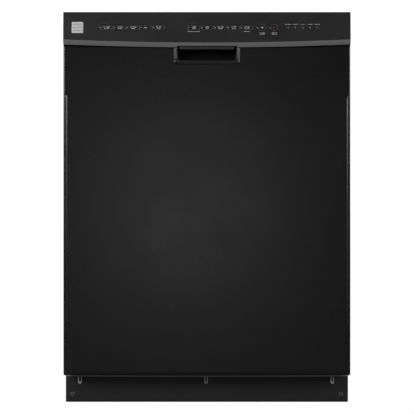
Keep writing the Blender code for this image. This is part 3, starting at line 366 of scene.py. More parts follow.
def socket_group(name, inputs, outputs):
    """An empty shader node group with the named sockets: (name, type, default)."""
    tree = bpy.data.node_groups.new(name, "ShaderNodeTree")
    for label, kind, default in inputs:
        socket = tree.interface.new_socket(name=label, in_out="INPUT", socket_type=kind)
        if default is not None:
            socket.default_value = default
    for label, kind in outputs:
        tree.interface.new_socket(name=label, in_out="OUTPUT", socket_type=kind)
    return tree, tree.nodes.new("NodeGroupInput"), tree.nodes.new("NodeGroupOutput")


def noise_node(tree, detail, roughness=0.5):
    node = tree.nodes.new("ShaderNodeTexNoise")
    node.inputs["Detail"].default_value = detail
    node.inputs["Roughness"].default_value = roughness
    return node


def wire(tree, *runs):
    """Links nodes: each run is a node, its output's name, the next node and its input's name."""
    for source, output, target, socket in runs:
        tree.links.new(source.outputs[output], target.inputs[socket])


def tint_group():
    """Cloudy change between two colours and two roughnesses: one noise for each."""
    tree, start, end = socket_group(
        "cloudy_tint",
        [
            ("Vector", "NodeSocketVector", None), ("Scale", "NodeSocketFloat", 8.0),
            ("Dark", "NodeSocketColor", (0.1, 0.1, 0.1, 1)),
            ("Light", "NodeSocketColor", (0.2, 0.2, 0.2, 1)), ("Smoothest", "NodeSocketFloat", 0.3),
            ("Roughest", "NodeSocketFloat", 0.5)
        ],
        [("Colour", "NodeSocketColor"), ("Roughness", "NodeSocketFloat")]
    )
    cloud, smudge = noise_node(tree, 4.0), noise_node(tree, 5.0, 0.6)
    double = tree.nodes.new("ShaderNodeMath")
    double.operation = "MULTIPLY"
    double.inputs[1].default_value = 2.7
    mix = tree.nodes.new("ShaderNodeMix")
    mix.data_type = "RGBA"
    spread = tree.nodes.new("ShaderNodeMapRange")
    spread.inputs["From Min"].default_value = 0.3
    spread.inputs["From Max"].default_value = 0.7
    wire(
        tree, (start, "Vector", cloud, "Vector"), (start, "Vector", smudge, "Vector"),
        (start, "Scale", cloud, "Scale"), (start, "Scale", double, 0), (double, 0, smudge, "Scale"),
        (cloud, "Fac", mix, "Factor"), (start, "Dark", mix, "A"), (start, "Light", mix, "B"),
        (smudge, "Fac", spread, "Value"), (start, "Smoothest", spread, "To Min"),
        (start, "Roughest", spread, "To Max"), (mix, "Result", end, "Colour"),
        (spread, "Result", end, "Roughness")
    )
    return tree


def grain_group():
    """Fine pitted texture of a moulding tool: cells added to noise."""
    tree, start, end = socket_group(
        "moulded_grain", [("Vector", "NodeSocketVector", None), ("Scale", "NodeSocketFloat", 900.0)],
        [("Height", "NodeSocketFloat")]
    )
    noise = noise_node(tree, 3.0)
    cells = tree.nodes.new("ShaderNodeTexVoronoi")
    total = tree.nodes.new("ShaderNodeMath")
    for node in (noise, cells):
        wire(tree, (start, "Vector", node, "Vector"), (start, "Scale", node, "Scale"))
    wire(tree, (noise, "Fac", total, 0), (cells, "Distance", total, 1), (total, 0, end, "Height"))
    return tree


def wave_group():
    """Slow waviness of paint or rolled metal: two noises, the finer one a third as high."""
    tree, start, end = socket_group(
        "slow_waves", [("Vector", "NodeSocketVector", None), ("Scale", "NodeSocketFloat", 60.0)],
        [("Height", "NodeSocketFloat")]
    )
    coarse, fine = noise_node(tree, 1.0), noise_node(tree, 2.0)
    times = tree.nodes.new("ShaderNodeMath")
    times.operation = "MULTIPLY"
    times.inputs[1].default_value = 4.0
    add = tree.nodes.new("ShaderNodeMath")
    add.operation = "MULTIPLY_ADD"
    add.inputs[1].default_value = 0.33
    wire(
        tree, (start, "Vector", coarse, "Vector"), (start, "Vector", fine, "Vector"),
        (start, "Scale", coarse, "Scale"), (start, "Scale", times, 0), (times, 0, fine, "Scale"),
        (fine, "Fac", add, 0), (coarse, "Fac", add, 2), (add, 0, end, "Height")
    )
    return tree


def spangle_group():
    """Zinc crystals: each Voronoi cell has its own shade between two colours."""
    tree, start, end = socket_group(
        "zinc_spangle",
        [
            ("Vector", "NodeSocketVector", None), ("Scale", "NodeSocketFloat", 120.0),
            ("Dark", "NodeSocketColor", (0.3, 0.3, 0.3, 1)),
            ("Light", "NodeSocketColor", (0.5, 0.5, 0.5, 1))
        ],
        [("Colour", "NodeSocketColor"), ("Shade", "NodeSocketFloat")]
    )
    cells = tree.nodes.new("ShaderNodeTexVoronoi")
    split = tree.nodes.new("ShaderNodeSeparateColor")
    mix = tree.nodes.new("ShaderNodeMix")
    mix.data_type = "RGBA"
    wire(
        tree, (start, "Vector", cells, "Vector"), (start, "Scale", cells, "Scale"),
        (cells, "Color", split, "Color"), (split, 0, mix, "Factor"), (start, "Dark", mix, "A"),
        (start, "Light", mix, "B"), (mix, "Result", end, "Colour"), (split, 0, end, "Shade")
    )
    return tree


def shared_group(name):
    """The shader node group of that name, built the first time it is wanted."""
    builders = {
        "cloudy_tint": tint_group, "moulded_grain": grain_group, "slow_waves": wave_group,
        "zinc_spangle": spangle_group
    }
    return bpy.data.node_groups.get(name) or builders[name]()


def use_group(tree, name, vector, **values):
    """A shared group placed in a material, reading that vector, with its own values."""
    node = tree.nodes.new("ShaderNodeGroup")
    node.node_tree = shared_group(name)
    tree.links.new(vector, node.inputs["Vector"])
    for label, value in values.items():
        node.inputs[label].default_value = value
    return node


# Each finish: its colour or the sidebar's name for it, how far the colour strays, the range of roughness,
# the clouds' scale, how metallic it is, and its relief (group, scale, strength, distance in metres, stretch).
FINISHES = {
    "floor_white": ((0.13, 0.13, 0.13), 0.01, (0.75, 0.85), 2.0, 0.0, ()),
    "console_plastic": ("console", 0.1, (0.4, 0.5), 5.0, 0.0, ("moulded_grain", 1500, 0.1, 0.0002)),
    "lip_plastic": ("lip", 0.06, (0.34, 0.42), 6.0, 0.0, ("moulded_grain", 1500, 0.08, 0.0002)),
    "door_paint": ("door", 0.1, (0.26, 0.3), 3.0, 0.0, ("slow_waves", 700, 0.05, 0.0002)),
    "toe_paint": ("toe", 0.14, (0.42, 0.52), 6.0, 0.0, ("slow_waves", 500, 0.06, 0.0002)),
    # Painted highlight: the roll's light grey stands in for the bright reflected line along the toe panel's
    # top, under the door.
    "roll_paint": ("roll", 0.12, (0.35, 0.45), 12.0, 0.0, ("slow_waves", 500, 0.06, 0.0002)),
    "rim_plastic": ("rim", 0.1, (0.3, 0.4), 20.0, 0.0, ("moulded_grain", 1500, 0.06, 0.0002)),
    # Painted shade: the pocket's inside is near black, with a low specular level below, standing in for the
    # shade deep in the recess.
    "cavity_plastic": ("cavity", 0.15, (0.55, 0.7), 20.0, 0.0, ("moulded_grain", 1200, 0.1, 0.0002)),
    "grip_plastic": ("grip", 0.1, (0.35, 0.45), 20.0, 0.0, ("moulded_grain", 1500, 0.06, 0.0002)),
    "key_film": ("key", 0.12, (0.34, 0.42), 30.0, 0.0, ("moulded_grain", 2500, 0.06, 0.0001)),
    "stop_key_film": ("stop_key", 0.15, (0.34, 0.42), 30.0, 0.0, ("moulded_grain", 2500, 0.06, 0.0001)),
    "outline_ink": ("outline", 0.12, (0.45, 0.6), 60.0, 0.0, ()),
    "label_ink": ("label", 0.15, (0.45, 0.6), 60.0, 0.0, ()),
    "faint_ink": ("faint", 0.15, (0.45, 0.6), 60.0, 0.0, ()),
    "stop_ink": ((0.085, 0.03, 0.03), 0.15, (0.45, 0.6), 60.0, 0.0, ()),
    "badge_silver": ("badge", 0.1, (0.3, 0.42), 40.0, 0.35, ("slow_waves", 900, 0.08, 0.0002)),
    # Painted shade: dark lines stand in for the shade in the badge's grooves.
    "badge_groove": ((0.16, 0.16, 0.165), 0.15, (0.4, 0.5), 40.0, 0.0, ()),
    "lens_clear": ((0.2, 0.21, 0.215), 0.1, (0.12, 0.2), 40.0, 0.0, ()),
    "tub_moulding": ("tub", 0.06, (0.28, 0.42), 4.0, 0.0, ("moulded_grain", 700, 0.08, 0.0003)),
    "liner_moulding": ("tub", 0.06, (0.26, 0.38), 4.0, 0.0, ("moulded_grain", 700, 0.08, 0.0003)),
    "dispenser_moulding": (
        (0.4, 0.41, 0.43), 0.08, (0.35, 0.5), 12.0, 0.0, ("moulded_grain", 1200, 0.1, 0.0002)
    ),
    "arm_moulding": (
        (0.3, 0.31, 0.33), 0.08, (0.32, 0.46), 12.0, 0.0, ("moulded_grain", 1000, 0.1, 0.0002)
    ),
    "dark_moulding": (
        (0.055, 0.056, 0.06), 0.15, (0.42, 0.58), 14.0, 0.0, ("moulded_grain", 900, 0.12, 0.0003)
    ),
    "basket_moulding": (
        (0.33, 0.345, 0.37), 0.08, (0.35, 0.5), 14.0, 0.0, ("moulded_grain", 1000, 0.1, 0.0002)
    ),
    "cap_moulding": (
        (0.045, 0.17, 0.42), 0.1, (0.28, 0.4), 20.0, 0.0, ("moulded_grain", 1200, 0.1, 0.0002)
    ),
    "rack_coating": ("rack", 0.07, (0.38, 0.5), 14.0, 0.0, ("slow_waves", 400, 0.1, 0.0003)),
    "roller_nylon": (
        (0.5, 0.51, 0.53), 0.07, (0.35, 0.5), 20.0, 0.0, ("moulded_grain", 1200, 0.08, 0.0002)
    ),
    "stainless_steel": (
        (0.58, 0.58, 0.57), 0.08, (0.24, 0.36), 6.0, 1.0, ("slow_waves", 900, 0.1, 0.0002, (1, 0.03, 1))
    ),
    "zinc_plate": ((0.46, 0.47, 0.48), 0.15, (0.34, 0.5), 10.0, 1.0, ("slow_waves", 300, 0.08, 0.0003)),
    "spring_steel": ((0.42, 0.42, 0.41), 0.15, (0.28, 0.42), 20.0, 1.0, ("slow_waves", 800, 0.1, 0.0002)),
    "heater_steel": ((0.33, 0.31, 0.29), 0.22, (0.3, 0.48), 16.0, 1.0, ("slow_waves", 600, 0.1, 0.0002)),
    "seal_rubber": (
        (0.022, 0.022, 0.023), 0.2, (0.62, 0.8), 20.0, 0.0, ("moulded_grain", 800, 0.15, 0.0003)
    ),
    "felt_pad": ((0.06, 0.058, 0.056), 0.45, (0.85, 0.98), 40.0, 0.0, ("slow_waves", 260, 0.7, 0.0015)),
    "board_laminate": ((0.025, 0.13, 0.05), 0.3, (0.35, 0.5), 60.0, 0.0, ("slow_waves", 900, 0.15, 0.0002)),
    "chip_resin": ((0.02, 0.02, 0.02), 0.2, (0.4, 0.55), 60.0, 0.0, ()),
    "copper_wire": ((0.7, 0.36, 0.2), 0.15, (0.3, 0.45), 40.0, 1.0, ()),
    "screw_black": ((0.1, 0.1, 0.102), 0.15, (0.28, 0.4), 40.0, 0.6, ()),
    # Painted highlight: the slot edges' near white stands in for the highlights caught by the rounded edges
    # of the black painted toe panel's slots.
    "slot_edge": ("slot_edge", 0.05, (0.3, 0.42), 30.0, 0.0, ())
}
# Shader sockets set besides those, named with spaces as underscores.
FINISH_SOCKETS = {
    "cavity_plastic": {"Specular IOR Level": 0.12}, "lens_clear": {"Coat Weight": 0.5},
    "felt_pad": {"Sheen Weight": 0.25, "Sheen Roughness": 0.6}
}
SPANGLE = {"zinc_plate": (170, 0.14)}  # scale of the zinc crystals, and how far their shades stray


def shades(colour, spread):
    """A colour's darker and lighter neighbours, as RGBA."""
    dark = (*(c * (1 - spread) for c in colour), 1)
    light = (*(min(c * (1 + spread), 1) for c in colour), 1)
    return dark, light


def build_finish(name):
    """A material from the table: cloudy colour and roughness, with a relief from one of the shared
    groups."""
    colour, spread, rough, scale, metallic, relief = FINISHES[name]
    if isinstance(colour, str):
        colour = getattr(bpy.context.scene.dishwasher_colours, colour)
    material = bpy.data.materials.new(name)
    material.use_nodes = True
    tree = material.node_tree
    shader = tree.nodes["Principled BSDF"]
    coords = tree.nodes.new("ShaderNodeTexCoord")
    mapping = tree.nodes.new("ShaderNodeMapping")
    tree.links.new(coords.outputs["Object"], mapping.inputs["Vector"])
    vector = mapping.outputs["Vector"]
    dark, light = shades(colour, spread)
    clouds = {"Scale": scale, "Dark": dark, "Light": light, "Smoothest": rough[0], "Roughest": rough[1]}
    tint = use_group(tree, "cloudy_tint", vector, **clouds)
    tree.links.new(tint.outputs["Colour"], shader.inputs["Base Color"])
    tree.links.new(tint.outputs["Roughness"], shader.inputs["Roughness"])
    shader.inputs["Metallic"].default_value = metallic
    if name in SPANGLE:
        scale, spread = SPANGLE[name]
        dark, light = shades(colour, spread)
        cells = use_group(tree, "zinc_spangle", vector, Scale=scale, Dark=dark, Light=light)
        tree.links.new(cells.outputs["Colour"], shader.inputs["Base Color"])
    if relief:
        add_relief(tree, shader, vector, *relief)
    for label, value in FINISH_SOCKETS.get(name, {}).items():
        shader.inputs[label].default_value = value
    return material


def add_relief(tree, shader, vector, group, scale, strength, distance, stretch=None):
    """Bumps the surface with a shared group's height, its pattern stretched if asked."""
    if stretch:
        mapping = tree.nodes.new("ShaderNodeMapping")
        mapping.inputs["Scale"].default_value = stretch
        tree.links.new(vector, mapping.inputs["Vector"])
        vector = mapping.outputs["Vector"]
    height = use_group(tree, group, vector, Scale=scale)
    bump = tree.nodes.new("ShaderNodeBump")
    bump.inputs["Strength"].default_value = strength
    bump.inputs["Distance"].default_value = distance
    tree.links.new(height.outputs["Height"], bump.inputs["Height"])
    tree.links.new(bump.outputs["Normal"], shader.inputs["Normal"])


def finish(name):
    """The finish of that name, built the first time it is wanted."""
    return bpy.data.materials.get(name) or build_finish(name)


# Sizes and colours in the sidebar


class DishwasherColours(bpy.types.PropertyGroup):
    """Colours of the finishes that a user would change."""

    def tone(name, description, value):
        return FloatVectorProperty(
            name=name, description=description, default=value, subtype="COLOR", size=3, min=0.0, max=1.0
        )

    console: tone("Console", "Charcoal moulding of the control console", (0.0085, 0.0085, 0.0089))
    lip: tone("Lip", "Grey lip along the console's lower edge", (0.125, 0.125, 0.127))
    door: tone("Door", "Black paint of the door", (0.0032, 0.0032, 0.0033))
    toe: tone("Toe panel", "Black paint of the toe panel", (0.0075, 0.0075, 0.0077))
    rim: tone("Pocket rim", "Rim round the handle pocket", (0.0120, 0.0120, 0.0125))
    # Painted shade: this near black stands in for the shade inside the handle pocket.
    cavity: tone("Pocket inside", "Inside of the handle pocket", (0.0008, 0.0008, 0.0008))
    grip: tone("Grip strip", "Latch paddle across the pocket", (0.0190, 0.0190, 0.0195))
    key: tone("Keys", "Key faces", (0.0045, 0.0045, 0.0047))
    stop_key: tone("Cancel key", "Face of the cancel key", (0.0120, 0.0052, 0.0056))
    outline: tone("Key outlines", "Printed lines round the keys", (0.135, 0.135, 0.138))
    label: tone("Labels", "Printed labels and dots", (0.42, 0.42, 0.42))
    faint: tone("Headings", "Faint headings over the keys", (0.050, 0.050, 0.051))
    badge: tone("Badge", "Silver badge plate", (0.70, 0.70, 0.71))
    # Painted highlight: near-white slot edges stand in for the highlights on the toe panel's black painted
    # slot edges.
    slot_edge: tone("Toe slot edges", "Steel edges of the toe panel's slots", (0.80, 0.80, 0.81))
    # Painted highlight: this light grey roll stands in for a bright reflected line along the toe panel's top.
    roll: tone("Toe panel's roll", "Rolled line along the toe panel's top", (0.30, 0.30, 0.305))
    tub: tone("Tub", "Grey moulding of the tub and the door's inside", (0.46, 0.47, 0.48))
    rack: tone("Racks", "Vinyl coating of the racks", (0.34, 0.37, 0.41))


class DishwasherSizes(bpy.types.PropertyGroup):
    """Sizes of the small detail that the frame doesn't fix."""

    def length(name, description, value):
        return FloatProperty(
            name=name, description=description, default=value, unit="LENGTH", precision=5, min=0.0
        )

    rim_width: length("Rim width", "How far the pocket's rim reaches out from its mouth", 0.0072)
    rim_height: length("Rim height", "How far the pocket's rim stands off the door", 0.0014)
    outline_wire: length("Outline thickness", "Half the thickness of a key's printed line", 0.00028)
    glyph_height: length("Label height", "Height of a line of printed label", 0.0021)
    # Thickness of the near-white tubes that paint the slot edges' highlights.
    slot_highlight_bead: length("Slot edge", "Half the thickness of the steel edge of a toe slot", 0.0010)
    wire: length("Rack wire", "Radius of a rack's thin wires", 0.0016)
    rim_wire: length("Rack rim wire", "Radius of a rack's rim wires", 0.0023)
    roller: length("Lower roller", "Radius of the lower rack's rollers", 0.0150)
    tine_count: IntProperty(name="Tines in a row", description="Tines along one row", default=17, min=2)


class PieceOperator:
    """What every operator here shares: it returns finished, and lets an error stop the script."""

    bl_options = {"REGISTER", "UNDO"}

    def execute(self, context):
        self.make(context.scene.dishwasher_sizes)
        return {"FINISHED"}


# Console


def printed(name, runs, ink, body):
    """Printed blocks on the leaning face: each run is (places on the face, sizes, how far out)."""
    shells = []
    for places, sizes, out in runs:
        middle = on_face(0.0, KEY_Z, out)
        shells.append(placed(blocks(places, sizes, INK_THICK), middle, FACE))
    return make_piece(name, shells, ink, body)


def word_runs(centre, width, height, lines, seed):
    """Blocks that read as lines of small print: letters 0.6 of the height wide, with gaps at random."""
    draw = np.random.default_rng(seed)
    places, sizes = [], []
    pitch = height * 0.86
    for line in range(lines):
        share = 1.0 if line == 0 else draw.uniform(0.7, 0.95)
        count = max(int(width * share / pitch), 2)
        across = (np.arange(count) - (count - 1) / 2) * pitch
        heights = np.where(draw.random(count) < 0.35, height, height * 0.74)
        kept = np.ones(count, bool)
        if count > 5:
            kept[draw.integers(2, count - 2)] = False
        v = centre[1] - (line - (lines - 1) / 2) * height * 1.45 - (height - heights) / 2
        places.append(np.column_stack([centre[0] + across, v])[kept])
        sizes.append(np.column_stack([np.full(count, pitch * 0.72), heights])[kept])
    return np.concatenate(places), np.concatenate(sizes)


class DISHWASHER_OT_console(PieceOperator, bpy.types.Operator):
    """The console's grey lip and the ink on its face, over the console's own moulding"""

    bl_idname = "dishwasher.console"
    bl_label = "Console lip and headings"

    def make(self, sizes):
        self.lip()
        self.headings(sizes)

    def lip(self):
        """The lip: a closed section (depth, height) carried along x. Its top sags by SAG*(1 -
        (2x/width)^2),
        and over the pocket its lower edge is cut level with the mouth's top."""
        step = 0.0002
        stops = [-MOUTH_HALF - step, -MOUTH_HALF, MOUTH_HALF, MOUTH_HALF + step]
        x = np.sort(np.concatenate([np.linspace(-HALF, HALF, 161), stops]))
        x[0] += 0.0001
        x[-1] -= 0.0001
        top = HEIGHT - LIP_DROP - LIP_SAG * (1 - (x / HALF) ** 2)
        bottom = top - LIP_HEIGHT
        bottom = np.where(np.abs(x) <= MOUTH_HALF, np.maximum(bottom, MOUTH_TOP_Z), bottom)
        down = np.array([0.0, 0.03, 0.10, 0.5, 0.86, 0.94, 0.985, 1.0, 1.0, 0.9, 0.5, 0.05])
        out = np.array([0.05, 0.30, 0.45, 0.50, 0.50, 0.42, 0.22, -0.15, -1.6, -1.8, -1.6, -1.2]) * 0.001
        full = (top - bottom)[:, None] * down[None]
        z = top[:, None] - full
        lean = math.tan(LEAN) * (top - LIP_TOP_LOW_Z)
        y = FRONT_Y + lean[:, None] + LIP_SETBACK * full / LIP_HEIGHT - out[None]
        points = np.stack([np.repeat(x[:, None], len(down), 1), y, z], -1)
        ends = [np.repeat(points[i].mean(0)[None, None], len(down), 1) for i in (0, -1)]
        shell = grid(np.concatenate([ends[0], points, ends[1]]), wrap_cols=True)
        make_piece("console_lip", [shell], "lip_plastic", "door", sharp=50)

    def headings(self, sizes):
        """Faint headings over the groups, small print under two keys, and the lights' labels."""
        small = sizes.glyph_height
        above = 0.0101
        faint = [(-0.2190, 0.016), (-0.0305, 0.019), (START_X - 0.0004, 0.0235)]
        runs = [
            (*word_runs((x, above), width, small * 0.62, 1, i), INK_OUT)
            for i, (x, width) in enumerate(faint)
        ]
        printed("console_headings", runs, "faint_ink", "door")
        x = LIGHT_X + np.arange(LIGHT_COUNT) * LIGHT_PITCH
        widths = [0.0140, 0.0118, 0.0090, 0.0118, 0.0118]
        runs = [
            (*word_runs((x[i], 0.0071), widths[i], small * 0.66, 1, 20 + i), INK_OUT)
            for i in range(LIGHT_COUNT)
        ]
        under = [(-0.0280, 0.0270), (0.0842, 0.0135)]
        runs += [
            (*word_runs((x, -0.0081), width, small * 0.66, 1, 30 + i), INK_OUT)
            for i, (x, width) in enumerate(under)
        ]
        runs += [
            (*word_runs((at, -0.0125), 0.0128, small * 0.9, 2, 40 + i), INK_OUT)
            for i, at in enumerate([START_X, CANCEL_X])
        ]
        dots = np.array([[START_X - 0.0106, 0.0], [CANCEL_X - 0.0106, 0.0]])
        runs.append((dots, np.full((2, 2), 0.0016), INK_OUT))
        printed("console_labels", runs, "label_ink", "door")


class DISHWASHER_OT_keys(PieceOperator, bpy.types.Operator):
    """Ten cycle and option keys, the start key and the cancel key, each with its outline and marks"""

    bl_idname = "dishwasher.keys"
    bl_label = "Keys"

    def make(self, sizes):
        words = {"pots_pans": 2, "normal": 2, "light": 2, "quick": 1, "rinse": 2}
        words.update({"hi_temp": 2, "sani": 2, "heat_dry": 2, "half_load": 2, "delay": 2})
        widths = [0.0160, 0.0115, 0.0130, 0.0085, 0.0120, 0.0100, 0.0095, 0.0130, 0.0110, 0.0115]
        for i, (word, lines) in enumerate(words.items()):
            kind = "cycle" if i < 5 else "option"
            nudge = 0.0026 if i < 3 else 0.0006
            self.flat_key(sizes, f"{kind}_key_{word}", (nudge, widths[i]), lines, 50 + i)
        self.round_key(sizes, "start_key", "key_film", "key_plastic", "label_ink", 0.0019)
        self.round_key(sizes, "cancel_key", "stop_key_film", "stop_key", "stop_ink", 0.0019)

    def flat_key(self, sizes, node, label, lines, seed):
        """A rounded block with a printed line 0.8 mm in from its edge, a lamp dot and a label."""
        x = between(node)[0]
        half_u, half_v = KEY_SIZE[0] / 2, KEY_SIZE[1] / 2
        front = on_face(x, KEY_Z, KEY_PROUD)
        block = slab(half_u, half_v, KEY_CORNER, 0.0006, KEY_PROUD + KEY_THICK)
        make_piece(f"{node}_cap", [placed(block, front, FACE)], "key_film", node, [node])
        line = rounded(half_u - 0.0008, half_v - 0.0008, KEY_CORNER - 0.0008, 5)
        ring = tube(np.column_stack([line, np.zeros(len(line))]), sizes.outline_wire, (0, 0, 1), 6, True)
        make_piece(f"{node}_outline", [placed(ring, front, FACE)], "outline_ink", node)
        places, marks = word_runs((x + label[0], 0.0), label[1], sizes.glyph_height, lines, seed)
        dot = np.array([[x - (0.0092 if "cycle" in node else 0.0104), 0.0]])
        runs = [(places, marks, KEY_PROUD), (dot, np.full((1, 2), 0.0016), KEY_PROUD)]
        printed(f"{node}_marks", runs, "label_ink", node)

    def round_key(self, sizes, node, film, slot, ink, dot_r):
        """A turned button with a printed ring near its edge and a round dot in its middle."""
        x = between(node)[0]
        front = on_face(x, KEY_Z, KEY_PROUD)
        r = ROUND_KEY_R
        back = -KEY_PROUD - KEY_THICK
        profile = [
            (0, 0), (r * 0.6, 0), (r - 0.0007, 0), (r - 0.0003, -0.0001), (r, -0.0006), (r, back), (0, back)
        ]
        make_piece(f"{node}_cap", [placed(turned(profile, 40), front, FACE)], film, node, [node])
        angle = np.linspace(0, 2 * math.pi, 40, endpoint=False)
        loop = np.column_stack([np.cos(angle), np.sin(angle), np.zeros(40)]) * (r - 0.0010)
        ring = tube(loop, sizes.outline_wire * 1.3, (0, 0, 1), 6, True)
        make_piece(f"{node}_outline", [placed(ring, front, FACE)], "outline_ink", node)
        dome = turned([(0, 0.00025), (dot_r * 0.6, 0.0002), (dot_r, 0), (0, -0.0002)], 20)
        make_piece(f"{node}_dot", [placed(dome, front, FACE)], ink, node)


class DISHWASHER_OT_badge_and_lights(PieceOperator, bpy.types.Operator):
    """The plain silver badge plate with three level dark lines as painted shade for its grooves, and the
    domes of the status lights
    """

    bl_idname = "dishwasher.badge_and_lights"
    bl_label = "Badge and status lights"

    def make(self, sizes):
        middle = between("badge_plate")
        half = 0.0119
        front = on_face(middle[0], middle[2], 0.0012)
        plate = placed(slab(half, half, 0.0022, 0.0004, 0.0009, steps=8), front, FACE)
        make_piece("badge_face", [plate], "badge_silver", "door", ["badge_plate"])
        # Three thin dark tubes on the plate: painted shade where its grooves are; no grooves are cut.
        u = np.linspace(-1, 1, 33)
        shells = []
        for v, bow in ((0.0068, 0.0), (0.0004, 0.0011), (-0.0066, 0.0)):
            path = np.column_stack([u * half * 0.82, v + bow * np.sin(u * math.pi), np.zeros(len(u))])
            shells.append(placed(tube(path, 0.00045, (0, 0, 1), 8), front, FACE))
        make_piece("badge_grooves", shells, "badge_groove", "door")
        r = 0.00135
        dome = turned(
            [(0, 0.0006), (r * 0.5, 0.00052), (r * 0.87, 0.0003), (r, 0), (r, -0.0002), (0, -0.0003)], 20
        )
        places = [on_face(LIGHT_X + i * LIGHT_PITCH, KEY_Z) for i in range(LIGHT_COUNT)]
        shells = [placed(dome, place, FACE) for place in places]
        make_piece("status_light_domes", shells, "lens_clear", "door")


# Door


def cut_lines(low, high, count, stops):
    """Evenly spaced lines with the named stops put in, for the edges of a hole."""
    lines = np.concatenate([np.linspace(low, high, count), stops])
    return np.unique(np.round(lines, 6))


def outside(us, vs, low_u, high_u, low_v, high_v):
    """Marks a grid's cells whose middles are outside a rectangle."""
    u, v = (us[:-1] + us[1:]) / 2, (vs[:-1] + vs[1:]) / 2
    inside = ((u > low_u) & (u < high_u))[:, None] & ((v > low_v) & (v < high_v))[None]
    return ~inside


class DISHWASHER_OT_door_skin(PieceOperator, bpy.types.Operator):
    """The black outer skin of the door: a pan with rounded edges, notched for the pocket"""

    bl_idname = "dishwasher.door_skin"
    bl_label = "Door skin"

    def make(self, sizes):
        edge = 0.0032
        reach = MOUTH_HALF + sizes.rim_width * 0.5
        low = MOUTH_BOTTOM_Z - sizes.rim_width * 0.5
        us = cut_lines(-HALF + edge, HALF - edge, 90, [-reach, reach])
        vs = cut_lines(PANEL_LOW.z - 0.0014 + edge, PANEL_HIGH.z - 0.0002, 100, [low])
        keep = outside(us, vs, -reach, reach, low, HEIGHT)
        bottom, top = vs[0], vs[-1]

        def bow(u, v):
            """A pressed skin is a hair fuller in its middle: 0.25 mm times both cosines."""
            return 0.00025 * np.cos(u / HALF * math.pi / 2) * np.cos(
                ((v - bottom) / (top - bottom) - 0.5) * math.pi
            )

        points, quads = tray(us, vs, edge, PANEL_HIGH.y - PANEL_LOW.y, "brl", keep, bow)
        # The bottom's return is short, so that the hinge ears pass behind it when the door is down.
        under = (points[:, 1] < bottom + 1e-6) & (np.abs(points[:, 0]) < us[-1] + 1e-6)
        points[under, 2] = np.maximum(points[under, 2], -0.0080)
        shell = placed((points, quads), (0, PANEL_LOW.y, 0), FRONT)
        make_piece(
            "door_skin", [shell], "door_paint", "door", ["door_panel"], False, wall=0.0009
        )


def scoop_outline(grow, top, steps=8):
    """The pocket's outline, open at its top: down one side, round two corners, along and up, grown
    outwards."""
    half, bottom, corner = MOUTH_HALF + grow, MOUTH_BOTTOM_Z - grow, max(MOUTH_CORNER + grow, 0.0005)
    turn = np.linspace(0, math.pi / 2, steps + 1)
    left = np.column_stack([-half + corner - corner * np.cos(turn), bottom + corner - corner * np.sin(turn)])
    right = np.column_stack([half - corner + corner * np.sin(turn), bottom + corner - corner * np.cos(turn)])
    side = np.linspace(top, bottom + corner, 6)[:-1]
    down = np.column_stack([np.full(5, -half), side])
    floor_x = np.linspace(-half + corner, half - corner, 14)[1:-1]
    floor = np.column_stack([floor_x, np.full(12, bottom)])
    up = np.column_stack([np.full(5, half), side[::-1]])
    return np.concatenate([down, left, floor, right, up])


